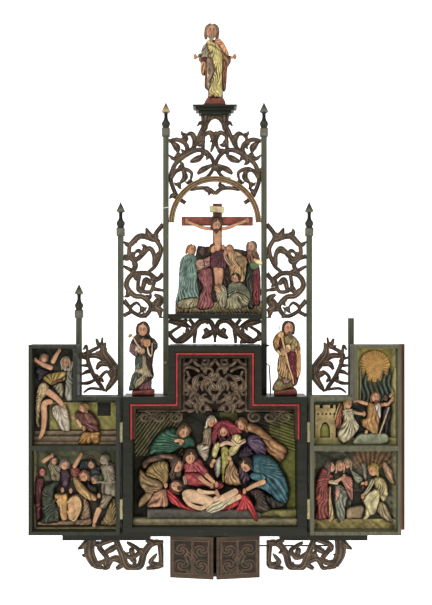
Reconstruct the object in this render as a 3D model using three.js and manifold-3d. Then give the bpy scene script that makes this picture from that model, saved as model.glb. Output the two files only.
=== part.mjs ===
// A carved and painted wall altar with two hinged wings, in millimetres, +Z up, its front towards -Y.
// The origin is on the wall, at the middle of the back of the shrine's wide lower part.
import * as THREE from 'three';
import { mergeVertices } from 'three/addons/utils/BufferGeometryUtils.js';
import Module from 'manifold-3d';

const wasm = await Module();
wasm.setup();

// Fit between pieces
const touch = 0.3;               // gap between two pieces that touch
const boards = 8;                // thickness of the back boards

// Shrine: a T-shaped box, a wide lower part and a narrower raised middle
const lowWidth = 424;
const lowHeight = 321;
const highWidth = 214;
const highRise = 118;            // how far the raised middle stands above the shoulders
const shrineDepth = 76;
const shrineWall = 15.5;         // edge of the boards seen from the front
const shrineFoot = 21;           // bottom board
const lining = 6.5;              // thickening strip inside the lower side boards
const liningTop = 61;            // height where the strip ends
const beadWidth = 6.5;           // red bead of the moulding
const coveWidth = 9.5;           // brown hollow of the moulding
const mouldingDepth = 14;
const mouldingSet = 2;           // how far the moulding lies behind the case's front
const reliefHeight = 257;        // centre relief, from the bottom board up
const reliefGround = 12;         // its thinnest place
const reliefRise = 44;           // highest carving above that
const reliefCell = 17;           // width of its flat facets

// Wings: L-shaped, each as deep as its boards
const wingWidth = 210;
const wingHighWidth = 112;       // taller part, at the free edge
const wingHeight = 438;
const wingGround = 6;            // thinnest place of the carved fields
const wingRise = 22;             // highest carving above that
const wingCell = 20;             // width of its flat facets
const wingLowHeight = 318.5;
const wingDepth = 46;
const wingGap = 7;               // between the shrine's side and the wing's edge
const shutGap = 2;               // between the faces of shrine and wing when it is shut
const freeStile = 8;
const hingeStile = 9;
const innerStile = 10;
const wingRail = 8;
const dividerRail = 11;
const dividerFoot = 194.5;       // from the wing's bottom up to the divider
const stripWidth = 28;           // closing strip at the back of the right wing
const stripReach = 18;           // how far the strip stands out past the wing's free edge
const stripThick = 5;
const stripClear = 1;            // between the strip and the other wing's back when both are shut

// Brass hinges of the wings
const hingeHeight = 45;
const leafThick = 1.5;
const leafDepth = 17;
const knuckleRadius = 2.5;
const hingeLift = [38, 215];     // bottom of each hinge above the wing's bottom

// Back frame: square posts, shelf and bars
const postSize = 13;
const mainPostTop = 772.5;
const midPostGap = 5.5;          // between the shrine's side and the middle posts
const midPostTop = 535.8;
const outerPostIn = 6;           // from the step of the open wing to the middle of the outer posts
const outerPostTop = 340.8;
const mainPostGap = 3;           // between the raised middle and the main posts
const shelfHeight = 11.2;
const shelfDepth = 42;
const shelfTop = 350.7;
const finialHeight = 81;
const finialWidth = 22.7;
const scrollThick = 9;           // pierced boards
const cheekDrop = 44;            // from the outer posts' tops down to the scrolls beside them
const rimWidth = 5;              // edge strips of the tracery inside the shrine

// Crest, slab and top statue
const archThick = 13;
const crestFoot = 568.5;
const crestTop = 822.6;
const corbelWidth = 58;
const slabWidth = 103;
const slabDepth = 46;
const slabSteps = [7, 7, 4];     // heights of the slab's steps, lowest first
const slabLip = 6.5;             // how far each step stands out past the one under it
const topStatueHeight = 191;

// Saints on the shoulders
const saintHeight = 173;
const saintY = -42;

// Crucifixion group
const groupHeight = 262;
const groupThick = 30;
const groupBack = 5;             // from the wall
const groupGap = 1.8;            // between the rocky foot and the right main post

// Bars, brackets and tabernacle under the shrine
const barGap = 49;               // from the tabernacle's side to the bars
const barPast = 34.5;            // how far the bars reach past the outer posts
const barHeight = 19;
const barDepth = 40;
const bracketGap = 18;           // from the tabernacle's side to the brackets
const bracketDrop = 72;
const bracketSet = 25;           // from the wall to the brackets' backs
const bracketInset = 20;         // from the brackets' outer ends to their plain edge
const boxWidth = 206;
const boxHeight = 98;
const boxDepth = 58;
const boxWall = 8;
const doorThick = 7;
const doorGap = 4;
const doorAjar = 9;              // degrees
const doorPinRadius = 2;

// Switch, lead and small metal parts on the main posts
const switchTop = 280;
const switchBottom = 164;
const switchWidth = 12;
const switchDepth = 9;
const leadRadius = 1.6;
const leadTop = 233;
const leadReach = 8;             // how far the lead stands out to the side
const knobHeight = 236;
const knobRadius = 4;
const knobLength = 6;
const rodRadius = 2;
const rodHeight = -200;

// Places that follow from the sizes above
const lowHalf = lowHeight / 2;
const shoulder = lowHalf;
const shrineTop = shoulder + highRise;
const front = -shrineDepth;
const wingBottom = -lowHalf + 2.5;
const mainPostX = highWidth / 2 + mainPostGap + postSize / 2;
const mainClear = mainPostX - postSize / 2 - touch;
const barTop = -lowHalf - touch;
const hingeX = lowWidth / 2 + wingGap / 2;
const postY = -finialWidth / 2;                 // middle of the posts, so the finials clear the wall
const postFront = postY - postSize / 2;
const panelBack = postY + scrollThick / 2;      // pierced boards stand in the middle of the posts
const hingeY = front - shutGap / 2;
const midPostX = lowWidth / 2 + midPostGap + postSize / 2;
const outerPostX = hingeX + wingGap / 2 + wingWidth - wingHighWidth + outerPostIn;
const saintX = (mainPostX + postSize / 2 + lowWidth / 2) / 2;
const barInner = boxWidth / 2 + barGap;
const barOuter = outerPostX + barPast;
const bracketInner = boxWidth / 2 + bracketGap;
const bracketOuter = outerPostX;

// Colours
const paint = (color, roughness = 0.7) => new THREE.MeshStandardMaterial({ color, roughness, metalness: 0 });
const green = paint(0x3a463c);
const postGreen = paint(0x5a6255);
const scrollBrown = paint(0x5f5044);
const carving = paint(0x9a7a55);
const red = paint(0xbe3237);
const mahogany = paint(0x5a3224);
const doorBrown = paint(0x5f4b3c);
const black = paint(0x1c1c1c, 0.5);
const brass = new THREE.MeshStandardMaterial({ color: 0xc8be8c, roughness: 0.35, metalness: 1 });

// Closed solids for joining and cutting

function toSolid(geometry) {
  const bare = geometry.clone();
  for (const name of Object.keys(bare.attributes)) {
    if (name !== 'position') bare.deleteAttribute(name);
  }
  const merged = mergeVertices(bare, 1e-3);
  const mesh = new wasm.Mesh({
    numProp: 3,
    vertProperties: merged.getAttribute('position').array,
    triVerts: new Uint32Array(merged.index.array),
  });
  return new wasm.Manifold(mesh);
}

function toGeometry(solid) {
  const mesh = solid.getMesh();
  const geometry = new THREE.BufferGeometry();
  geometry.setAttribute('position', new THREE.Float32BufferAttribute(mesh.vertProperties, 3));
  geometry.setIndex(Array.from(mesh.triVerts));
  geometry.computeVertexNormals();
  return geometry;
}

function join(pieces) {
  return toGeometry(pieces.map(toSolid).reduce((whole, piece) => whole.add(piece)));
}

function carve(piece, cutters) {
  return toGeometry(cutters.map(toSolid).reduce((rest, cutter) => rest.subtract(cutter), toSolid(piece)));
}

// The same piece with left and right changed over
function mirrored(geometry) {
  const twin = mergeVertices(geometry.clone(), 1e-3);
  twin.scale(-1, 1, 1);
  const index = twin.index.array;
  for (let i = 0; i < index.length; i += 3) {
    [index[i], index[i + 1]] = [index[i + 1], index[i]];
  }
  return twin;
}

function sided(geometry, side) {
  return side > 0 ? geometry : mirrored(geometry);
}

// A box given by its two corners
function block(x0, x1, y0, y1, z0, z1) {
  const box = new THREE.BoxGeometry(x1 - x0, y1 - y0, z1 - z0);
  return box.translate((x0 + x1) / 2, (y0 + y1) / 2, (z0 + z1) / 2);
}

// A flat board cut to an outline in the x-z plane; it reaches forwards from y = back
function plate(shape, back, thickness) {
  const board = new THREE.ExtrudeGeometry(shape, { depth: thickness, bevelEnabled: false, curveSegments: 6 });
  return board.rotateX(Math.PI / 2).translate(0, back, 0);
}

function outline(points) {
  return new THREE.Shape(points.map(([x, z]) => new THREE.Vector2(x, z)));
}

// The shrine's T, drawn a given distance inside its outer edge, with its own distance at the bottom
function teePoints(inset, foot) {
  const low = lowWidth / 2 - inset;
  const high = highWidth / 2 - inset;
  const step = shoulder - inset;
  const top = shrineTop - inset;
  return [
    [-low, foot], [low, foot], [low, step], [high, step],
    [high, top], [-high, top], [-high, step], [-low, step],
  ];
}

// A wing's L on the +x side, x measured from its hinge edge, z from its bottom
function ellPoints(hinge, free, inner, foot, rail) {
  const inside = wingWidth - wingHighWidth + inner;
  return [
    [hinge, foot], [wingWidth - free, foot], [wingWidth - free, wingHeight - rail],
    [inside, wingHeight - rail], [inside, wingLowHeight - rail], [hinge, wingLowHeight - rail],
  ];
}

// Carved ribbons and scrollwork

// A flat ribbon along points in the x-z plane; widths are those at its start, middle and end
function ribbon(points, widths, back, thickness) {
  const last = points.length - 1;
  const sides = points.map(([x, z], i) => {
    const [ax, az] = points[Math.max(i - 1, 0)];
    const [bx, bz] = points[Math.min(i + 1, last)];
    const length = Math.hypot(bx - ax, bz - az);
    const nx = -(bz - az) / length;
    const nz = (bx - ax) / length;
    const t = 2 * i / last;
    const [w0, w1] = t < 1 ? [widths[0], widths[1]] : [widths[1], widths[2]];
    const half = THREE.MathUtils.lerp(w0, w1, t < 1 ? t : t - 1) / 2;
    return [[x + nx * half, z + nz * half], [x - nx * half, z - nz * half]];
  });
  const corners = sides.flatMap(([[ax, az], [bx, bz]]) => [
    [ax, back, az], [bx, back, bz], [bx, back - thickness, bz], [ax, back - thickness, az],
  ]);
  const end = 4 * last;
  const faces = [[0, 1, 2], [0, 2, 3], [end, end + 2, end + 1], [end, end + 3, end + 2]];
  for (let i = 0; i < last; i += 1) {
    for (let k = 0; k < 4; k += 1) {
      const a = 4 * i + k;
      const b = 4 * i + (k + 1) % 4;
      faces.push([a, a + 4, b + 4], [a, b + 4, b]);
    }
  }
  return closed(corners, faces);
}

// A closed surface from its corners and triangles, turned to face outwards
function closed(corners, faces) {
  const geometry = new THREE.BufferGeometry();
  geometry.setAttribute('position', new THREE.Float32BufferAttribute(corners.flat(), 3));
  let volume = 0;
  for (const [a, b, c] of faces) {
    const [p, q, r] = [corners[a], corners[b], corners[c]];
    volume += p[0] * (q[1] * r[2] - q[2] * r[1]);
    volume += p[1] * (q[2] * r[0] - q[0] * r[2]);
    volume += p[2] * (q[0] * r[1] - q[1] * r[0]);
  }
  const turned = volume < 0 ? faces.map(([a, b, c]) => [a, c, b]) : faces;
  geometry.setIndex(turned.flat());
  return geometry;
}

// Pieces joined into one, cut off where they reach past a box
function fitted(pieces, x0, x1, z0, z1) {
  const room = toSolid(block(x0, x1, -2 * shrineDepth, 0, z0, z1));
  return toGeometry(toSolid(join(pieces)).intersect(room));
}

// Scrolls drawn in hundredths of a panel's width and height become ribbons in its frame
function scrollwork(scrolls, left, width, foot, height, back, thickness) {
  return scrolls.map(({ path, wide }) => {
    const points = path.map(([u, v]) => [left + width * u / 100, foot + height * v / 100]);
    return ribbon(points, wide.map((share) => width * share / 100), back, thickness);
  });
}

function bothSides(scrolls) {
  const twins = scrolls.map(({ path, wide }) => ({ path: path.map(([u, v]) => [-u, v]), wide }));
  return scrolls.concat(twins);
}

// Reliefs: a flat back and a front whose height is the highest of a set of rounded shapes

// A rounded limb along points in hundredths of the relief; r is its half width in hundredths of the
// relief's height, rise its own height in hundredths of the deepest carving
const limb = (path, r, rise) => ({ path, r, rise });

// A figure as limbs: robe from the shoulders over the hips to the feet, a head and two arms
function figure({ head, hips, feet, hands = [], size, rise }) {
  const neck = [head[0] + (hips[0] - head[0]) * 0.3, head[1] + (hips[1] - head[1]) * 0.3];
  const limbs = [
    limb([neck, hips, feet], size * 1.35, rise * 0.85),
    limb([head, [head[0] + 0.1, head[1] + 0.1]], size * 0.8, rise),
  ];
  for (const hand of hands) {
    const elbow = [(neck[0] + hand[0]) / 2, (neck[1] + hand[1]) / 2 - size * 0.3];
    limbs.push(limb([neck, elbow, hand], size * 0.5, rise * 0.95));
  }
  return limbs;
}

function distanceTo(path, x, z) {
  let best = Infinity;
  for (let i = 0; i + 1 < path.length; i += 1) {
    const [ax, az] = path[i];
    const [bx, bz] = path[i + 1];
    const [dx, dz] = [bx - ax, bz - az];
    const t = THREE.MathUtils.clamp(((x - ax) * dx + (z - az) * dz) / (dx * dx + dz * dz), 0, 1);
    best = Math.min(best, Math.hypot(x - ax - t * dx, z - az - t * dz));
  }
  return best;
}

// Moves the nearest line of a grid onto a place
function snap(lines, place) {
  const away = lines.map((line) => Math.abs(line - place));
  const nearest = away.indexOf(Math.min(...away));
  lines[nearest] = place;
}

// A relief over the cells of a grid that lie inside the region; ground is its thinnest place
function relief({
  left, right, foot, top, cell, inside, centre, back, ground, deep, limbs, corner, steps = [],
}) {
  const width = right - left;
  const height = top - foot;
  const across = Math.round(width / cell);
  const up = Math.round(height / cell);
  const xs = Array.from({ length: across + 1 }, (_, i) => left + width * i / across);
  const zs = Array.from({ length: up + 1 }, (_, j) => foot + height * j / up);
  if (corner) {
    snap(xs, corner[0]);
    snap(zs, corner[1]);
  }
  const scaled = limbs.map(({ path, r, rise }) => ({
    path: path.map(([u, v]) => [left + width * u / 100, foot + height * v / 100]),
    r: height * r / 100,
    rise: deep * rise / 100,
  }));
  const depthAt = (x, z) => {
    let depth = ground;
    for (const { path, r, rise } of scaled) {
      const d = distanceTo(path, x, z) / r;
      if (d < 1) depth = Math.max(depth, ground + rise * Math.sqrt(1 - d * d));
    }
    for (const { upTo, share } of steps) {
      if (z <= foot + height * upTo / 100) depth = Math.max(depth, deep * share);
    }
    return depth;
  };
  const corners = [];
  const number = new Map();
  const cornerAt = (i, j, atBack) => {
    const key = `${i} ${j} ${atBack}`;
    if (!number.has(key)) {
      number.set(key, corners.length);
      corners.push([xs[i], atBack ? back : back - depthAt(xs[i], zs[j]), zs[j]]);
    }
    return number.get(key);
  };
  const has = (i, j) => i >= 0 && j >= 0 && i < across && j < up
    && inside((xs[i] + xs[i + 1]) / 2, (zs[j] + zs[j + 1]) / 2);
  const faces = [];
  const middle = corners.push([centre[0], back, centre[1]]) - 1;
  const edge = (i0, j0, i1, j1) => {
    const [a, b] = [cornerAt(i0, j0, false), cornerAt(i1, j1, false)];
    const [c, d] = [cornerAt(i0, j0, true), cornerAt(i1, j1, true)];
    faces.push([a, c, d], [a, d, b], [c, middle, d]);
  };
  for (let i = 0; i < across; i += 1) {
    for (let j = 0; j < up; j += 1) {
      if (!has(i, j)) continue;
      const [a, b] = [cornerAt(i, j, false), cornerAt(i + 1, j, false)];
      const [c, d] = [cornerAt(i + 1, j + 1, false), cornerAt(i, j + 1, false)];
      faces.push([a, b, c], [a, c, d]);
      if (!has(i, j - 1)) edge(i, j, i + 1, j);
      if (!has(i + 1, j)) edge(i + 1, j, i + 1, j + 1);
      if (!has(i, j + 1)) edge(i + 1, j + 1, i, j + 1);
      if (!has(i - 1, j)) edge(i, j + 1, i, j);
    }
  }
  return closed(corners, faces);
}

// Round carved figures

// A body lofted through level rings; each ring is [height, x, y, half width, half depth], folds deepen it
function loft(rings, sides, folds, foldDepth) {
  const corners = [];
  for (const [z, x, y, a, b] of rings) {
    for (let k = 0; k < sides; k += 1) {
      const turn = 2 * Math.PI * k / sides;
      const fold = 1 + foldDepth * Math.cos(folds * turn + z * 0.02);
      corners.push([x + a * fold * Math.cos(turn), y + b * fold * Math.sin(turn), z]);
    }
  }
  const faces = [];
  for (let i = 0; i + 1 < rings.length; i += 1) {
    for (let k = 0; k < sides; k += 1) {
      const [a, b] = [i * sides + k, i * sides + (k + 1) % sides];
      faces.push([a, b, b + sides], [a, b + sides, a + sides]);
    }
  }
  const [first, final] = [rings[0], rings[rings.length - 1]];
  const low = corners.push([first[1], first[2], first[0]]) - 1;
  const high = corners.push([final[1], final[2], final[0]]) - 1;
  const top = (rings.length - 1) * sides;
  for (let k = 0; k < sides; k += 1) {
    const next = (k + 1) % sides;
    faces.push([low, next, k], [high, top + k, top + next]);
  }
  return closed(corners, faces);
}

function ball(x, y, z, rx, ry, rz) {
  return new THREE.SphereGeometry(1, 6, 4).rotateX(Math.PI / 2).scale(rx, ry, rz).translate(x, y, z);
}

// A tapering round limb from one point over another to a third
function arm(points, radii) {
  const curve = new THREE.CatmullRomCurve3(points.map(([x, y, z]) => new THREE.Vector3(x, y, z)));
  const sides = 5;
  const rings = 3;
  const corners = [];
  const frames = curve.computeFrenetFrames(rings, false);
  for (let i = 0; i <= rings; i += 1) {
    const at = curve.getPointAt(i / rings);
    const r = THREE.MathUtils.lerp(radii[0], radii[1], i / rings);
    for (let k = 0; k < sides; k += 1) {
      const turn = 2 * Math.PI * k / sides;
      const out = frames.normals[i].clone().multiplyScalar(Math.cos(turn) * r)
        .addScaledVector(frames.binormals[i], Math.sin(turn) * r);
      corners.push(at.clone().add(out).toArray());
    }
  }
  const faces = [];
  for (let i = 0; i < rings; i += 1) {
    for (let k = 0; k < sides; k += 1) {
      const [a, b] = [i * sides + k, i * sides + (k + 1) % sides];
      faces.push([a, b, b + sides], [a, b + sides, a + sides]);
    }
  }
  const top = rings * sides;
  for (let k = 1; k + 1 < sides; k += 1) {
    faces.push([0, k + 1, k], [top, top + k, top + k + 1]);
  }
  return closed(corners, faces);
}

// A standing robed figure on its base; every size is a share of its height
function statue(height, { round, spread, sway }) {
  const h = height;
  const baseWidth = round ? 0.32 * h : 0.33 * h;
  const base = round
    ? new THREE.CylinderGeometry(baseWidth * 0.42, baseWidth * 0.5, 0.1 * h, 12).rotateX(Math.PI / 2).translate(0, 0, 0.05 * h)
    : block(-baseWidth / 2, baseWidth / 2, -baseWidth * 0.4, baseWidth * 0.4, 0, 0.1 * h);
  const robe = loft([
    [0.08 * h, 0, 0, 0.125 * h, 0.085 * h],
    [0.24 * h, 0, 0, 0.12 * h, 0.085 * h],
    [0.48 * h, sway * 0.015 * h, 0, 0.13 * h, 0.085 * h],
    [0.64 * h, sway * 0.01 * h, 0, 0.125 * h, 0.08 * h],
    [0.78 * h, 0, 0, 0.13 * h, 0.065 * h],
    [0.84 * h, 0, 0, 0.05 * h, 0.045 * h],
    [0.89 * h, 0, 0, 0.035 * h, 0.035 * h],
  ], 9, 4, 0.07);
  const pieces = [base, robe, ball(0, -0.01 * h, 0.925 * h, 0.058 * h, 0.065 * h, 0.075 * h)];
  for (const side of [-1, 1]) {
    const hand = spread
      ? [side * 0.25 * h, -0.1 * h, 0.77 * h]
      : [side * 0.055 * h, -0.115 * h, (0.62 - side * sway * 0.05) * h];
    const elbow = spread ? [side * 0.2 * h, -0.03 * h, 0.66 * h] : [side * 0.18 * h, -0.04 * h, 0.6 * h];
    pieces.push(arm([[side * 0.11 * h, 0, 0.77 * h], elbow, hand], [0.045 * h, 0.022 * h]));
  }
  return pieces;
}

// Scroll patterns: paths in hundredths of their panel's width and height, widths in hundredths of its width

const crestScrolls = [
  {
    path: [
      [-32, 18], [-41, 24.5], [-47.5, 38], [-46.5, 48], [-40, 57.5], [-22.5, 67], [-11, 66.5],
      [-3, 59.5], [-1.6, 51.5], [-8, 43], [-17, 41],
    ],
    wide: [3.4, 3.8, 2.6],
  },
  {
    path: [
      [-31, 63], [-22, 72], [-15.5, 84], [-12.6, 90], [-15.5, 93.5], [-19, 90.5],
    ],
    wide: [3.4, 3.6, 2.3],
  },
  { path: [[-47.5, 41], [-42, 48], [-33.5, 50], [-25.5, 46.5], [-26.5, 39]], wide: [3, 3.4, 2] },
  { path: [[-35, 49.5], [-32.5, 42.5], [-38, 36.5]], wide: [2.6, 5, 2] },
  {
    path: [
      [-50, 76], [-41, 77.5], [-32.5, 74], [-30, 67.5], [-35, 61], [-44, 59.5], [-50, 63],
    ],
    wide: [3.2, 4, 2.7],
  },
  { path: [[-47, 75], [-41.5, 70.5], [-40, 65]], wide: [2.3, 6, 1.8] },
  { path: [[-23.5, 70.5], [-22, 77.5], [-25.5, 83], [-31.5, 82]], wide: [2.7, 4.6, 1.8] },
  { path: [[-12, 88], [-13.5, 62]], wide: [3.2, 3.2, 3.2] },
  { path: [[-12.5, 63], [-19, 59.5], [-27, 56.5]], wide: [2.3, 5.5, 2.3] },
  { path: [[-13, 81], [-5.5, 84], [-1, 76.6], [-4.4, 66]], wide: [2.7, 4.1, 2.3] },
  { path: [[-19, 45.5], [-13, 49.5], [-2.5, 54]], wide: [2.3, 5, 2.3] },
  { path: [[-10, 100], [-11, 86]], wide: [8.2, 5.9, 4.1] },
  { path: [[-10, 91], [-5.5, 97], [0, 99.5]], wide: [3.2, 3.6, 4.1] },
];
const cusp = { path: [[-27, 31], [-14, 32.2], [-6, 31], [0, 26.5]], wide: [3.2, 3.2, 4.1] };
const sideScrolls = [
  {
    path: [[100, 98.7], [80, 86], [94, 72], [80, 55], [56.8, 47]],
    wide: [7.5, 7.5, 5.3],
  },
  { path: [[56.8, 94.5], [66, 86], [80, 82]], wide: [3.2, 12.8, 9.6] },
  { path: [[80, 82], [42, 86], [15.8, 77], [0, 80]], wide: [8.5, 9.6, 5.3] },
  { path: [[16, 79], [15, 67], [34, 62], [63, 73], [77, 66], [76, 52]], wide: [6.4, 8.5, 6.4] },
  { path: [[47, 66], [38, 71], [27, 68]], wide: [7.5, 6.4, 4.3] },
  { path: [[0, 65], [20, 62], [31, 55], [18, 46]], wide: [7.5, 7.5, 7.5] },
  { path: [[0, 54.5], [22, 49.5]], wide: [4.3, 6.4, 6.4] },
  {
    path: [
      [100, 46.8], [84.9, 41], [60, 47], [20, 45], [7.5, 34], [26.6, 23.8], [50.3, 21.8], [69, 12], [50, 1.8],
      [17, 9], [33, 16], [50, 8],
    ],
    wide: [7.5, 8.5, 4.3],
  },
  { path: [[40, 46], [38, 31], [68, 28], [80, 42]], wide: [6.4, 6.4, 6.4] },
  { path: [[47, 29], [56, 40], [70, 35]], wide: [6.4, 9.6, 7.5] },
  { path: [[70, 31], [100, 29]], wide: [7.5, 6.4, 4.3] },
  { path: [[78, 25], [92, 20], [82, 12], [100, 7.5]], wide: [4.3, 14.9, 6.4] },
  { path: [[68, 9], [88, 9], [93.5, 1]], wide: [6.4, 10.6, 4.3] },
  { path: [[0, 18.5], [18, 10]], wide: [8.5, 7.5, 6.4] },
  { path: [[0, 2.5], [20, 7]], wide: [6.4, 6.4, 6.4] },
];
const cheekScrolls = [
  { path: [[57.4, 99], [50, 84], [16, 68], [30, 35], [63.4, 3]], wide: [4.7, 10.5, 10.5] },
  { path: [[39.6, 97], [47, 83]], wide: [4.7, 9.4, 7] },
  { path: [[4, 77], [11.9, 84], [16, 66]], wide: [4.7, 7, 7] },
  { path: [[65, 90], [62, 70], [93, 36], [66, 2.5]], wide: [4.7, 23.4, 10.5] },
  { path: [[90, 34.6], [100, 34.6]], wide: [10.5, 7, 4.7] },
  { path: [[18, 66], [45.5, 66], [68, 55]], wide: [10.5, 15.2, 10.5] },
  { path: [[40, 42], [52, 52], [74, 50]], wide: [7, 15.2, 9.4] },
  { path: [[76, 9], [83, 24], [70, 38], [52, 28], [60, 19]], wide: [8.2, 8.2, 9.4] },
  { path: [[0, 63], [19, 60]], wide: [5.9, 7, 7] },
  { path: [[0, 49], [26, 49]], wide: [4.7, 9.4, 7] },
  { path: [[0, 33], [15, 38], [30, 37]], wide: [4.7, 10.5, 7] },
  { path: [[0, 17], [18, 18], [38, 24]], wide: [7, 9.4, 7] },
  { path: [[5, 1], [24, 8], [62, 6]], wide: [4.7, 7, 7] },
];
const friezeScrolls = [
  { path: [[-50, 91], [-38, 84], [-26, 66]], wide: [3.6, 6.4, 1.8] },
  {
    path: [
      [-36, 74], [-48.3, 40], [-40, 8], [-29, 30], [-16, 88], [-5, 87], [-1, 50], [0.5, 6],
    ],
    wide: [2.3, 5, 2.7],
  },
  { path: [[-40, 14], [-31, 45]], wide: [4.1, 2.7, 1.4] },
  { path: [[-28, 99], [-20, 62]], wide: [3.2, 3.2, 2.7] },
  { path: [[-22.4, 2], [-22, 30], [-20, 60]], wide: [2.3, 3.2, 2.3] },
  { path: [[-14.2, 22], [-2, 50]], wide: [2.3, 5.5, 4.1] },
  { path: [[-11, 62], [-7, 38]], wide: [3.2, 5, 4.6] },
];
const traceryScrolls = [
  { path: [[-14, 20], [-3, 36], [-5, 60], [-17, 56], [-13, 41]], wide: [4.7, 4.7, 3.3] },
  { path: [[-0.5, 100], [-11, 86], [-22, 100]], wide: [4, 4.7, 4] },
  { path: [[-34, 99], [-18, 76], [-25, 58], [-22, 48]], wide: [4.7, 5.3, 4] },
  { path: [[-6, 58], [-11, 86]], wide: [4, 4.7, 4] },
  { path: [[-50, 92], [-37.8, 74], [-45, 56], [-36, 42], [-18, 48]], wide: [4.7, 4.7, 4] },
  { path: [[-50, 36], [-29, 38], [-21, 21], [-34, 8], [-50, 14]], wide: [4.7, 4.7, 4] },
  { path: [[-14, 0], [-16, 24], [-30, 40]], wide: [5.3, 4.7, 4] },
];
const bracketScrolls = [
  { path: [[0, 68], [6.6, 79], [14, 100]], wide: [1.5, 4.5, 5] },
  { path: [[14, 100], [13.5, 54], [21, 10]], wide: [7.9, 7.9, 5.9] },
  { path: [[19, 14], [30, 5]], wide: [4, 4, 2] },
  { path: [[41, 100], [25, 78], [34, 35], [20, 18]], wide: [4, 4, 3.5] },
  { path: [[44, 100], [50.8, 54], [58, 10], [72, 12], [77.3, 54], [86, 84], [100, 92]], wide: [4.5, 5.4, 4.5] },
  { path: [[50.8, 58], [62, 40], [71.5, 62], [57, 90]], wide: [3, 3.5, 3] },
  { path: [[64, 42], [62, 72]], wide: [3, 4.5, 3.5] },
  { path: [[34, 4], [41, 36], [54, 22]], wide: [3, 4.5, 4] },
  { path: [[45, 3], [54, 20]], wide: [3, 4, 4] },
  { path: [[33, 58], [47, 80]], wide: [4, 5, 3.5] },
  { path: [[96, 88], [97, 20], [85, 24], [92, 52]], wide: [4.5, 4.5, 2.5] },
  { path: [[80, 4], [98, 15]], wide: [2.5, 4.5, 4.5] },
  { path: [[80, 100], [90, 84]], wide: [4, 4.5, 4] },
];

// Reliefs, in hundredths of the width and height of each opening

const centreLimbs = [
  ...figure({ head: [31.5, 86], hips: [17, 75], feet: [10, 60], hands: [[29, 77]], size: 7, rise: 59 }),
  ...figure({ head: [26, 56], hips: [12, 55], feet: [8, 18], hands: [[20, 36]], size: 8, rise: 82 }),
  ...figure({ head: [35, 64], hips: [37, 44], feet: [44, 36], hands: [[47.5, 39]], size: 6.5, rise: 73 }),
  ...figure({ head: [47.5, 97], hips: [45, 84], feet: [44, 62], size: 5, rise: 50 }),
  ...figure({ head: [55, 88], hips: [56, 72], feet: [59, 42], hands: [[49, 59], [59, 60]], size: 8, rise: 68 }),
  ...figure({ head: [66, 93], hips: [77, 78], feet: [86, 58], hands: [[67, 82]], size: 7, rise: 59 }),
  ...figure({ head: [69, 57], hips: [87, 44], feet: [79, 14], hands: [[68, 34]], size: 8, rise: 82 }),
  limb([[26.4, 36.5], [26.6, 36.6]], 5.5, 100),
  limb([[33, 33], [40, 26], [48, 20]], 8, 95),
  limb([[48, 21], [62, 33], [67, 22]], 6, 100),
  limb([[37, 30], [41, 18], [52, 26]], 3.5, 100),
  limb([[21, 32], [32, 18], [50, 15], [66, 28], [75, 7]], 5, 86),
];
const leftUpperLimbs = [
  ...figure({ head: [16, 86], hips: [26, 61], feet: [10, 30], hands: [[31, 98], [2, 88]], size: 6.5, rise: 82 }),
  limb([[18, 58], [30, 47], [36, 40]], 4.5, 95),
  limb([[16, 56], [14, 40], [12, 18], [8, 8]], 4.5, 100),
  limb([[30, 38], [36, 28], [40, 16]], 6, 64),
  ...figure({ head: [39, 87], hips: [42, 72], feet: [42, 46], size: 6.5, rise: 64 }),
  ...figure({ head: [60, 41], hips: [69, 17], feet: [62, 6], hands: [[61, 18]], size: 7, rise: 91 }),
];
const leftLowerLimbs = [
  ...figure({ head: [10, 72], hips: [5, 45], feet: [4, 8], hands: [[22, 93]], size: 7, rise: 73 }),
  ...figure({ head: [24, 80], hips: [19, 48], feet: [18, 12], size: 9, rise: 86 }),
  ...figure({ head: [37, 81], hips: [36, 60], feet: [34, 50], hands: [[57, 94]], size: 7, rise: 77 }),
  ...figure({ head: [60, 67], hips: [63, 47], feet: [77, 36], size: 8, rise: 100 }),
  ...figure({ head: [70, 81], hips: [72, 68], feet: [74, 58], size: 6, rise: 68 }),
  ...figure({ head: [84, 88], hips: [88, 55], feet: [73, 8], hands: [[98, 76]], size: 8, rise: 95 }),
  limb([[34, 36], [38, 14]], 8, 91),
  limb([[49, 30], [50, 18]], 11, 95),
  limb([[94, 36], [98, 10]], 5, 68),
];
const rightUpperLimbs = [
  ...figure({ head: [43, 43], hips: [48, 20], feet: [42, 5], hands: [[60, 32]], size: 7, rise: 86 }),
  ...figure({ head: [75, 50], hips: [70, 27], feet: [66, 15], hands: [[51, 47], [95, 49]], size: 7, rise: 91 }),
  limb([[35, 40], [28, 24]], 5, 68),
  limb([[88, 36], [79, 12]], 2.5, 82),
  limb([[60, 72], [66, 56], [88, 55], [93, 76]], 7, 55),
  limb([[52, 6], [86, 6]], 9, 68),
];
const rightLowerLimbs = [
  ...figure({ head: [21, 81], hips: [12, 52], feet: [11, 15], hands: [[36, 69]], size: 9, rise: 91 }),
  ...figure({ head: [33, 84], hips: [35, 50], feet: [34, 14], hands: [[45, 62]], size: 8, rise: 82 }),
  ...figure({ head: [43, 88], hips: [52, 72], feet: [62, 60], size: 7, rise: 68 }),
  ...figure({ head: [75, 79], hips: [82, 50], feet: [65, 16], hands: [[61, 46]], size: 9, rise: 100 }),
  limb([[90, 86], [98, 62]], 6, 73),
  limb([[84, 45], [92, 12]], 8, 82),
];

// The object and its groups

const altar = new THREE.Group();

function add(group, name, geometry, material, x = 0, y = 0, z = 0) {
  const mesh = new THREE.Mesh(geometry, material);
  mesh.name = name;
  mesh.position.set(x, y, z);
  group.add(mesh);
  return mesh;
}

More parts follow.
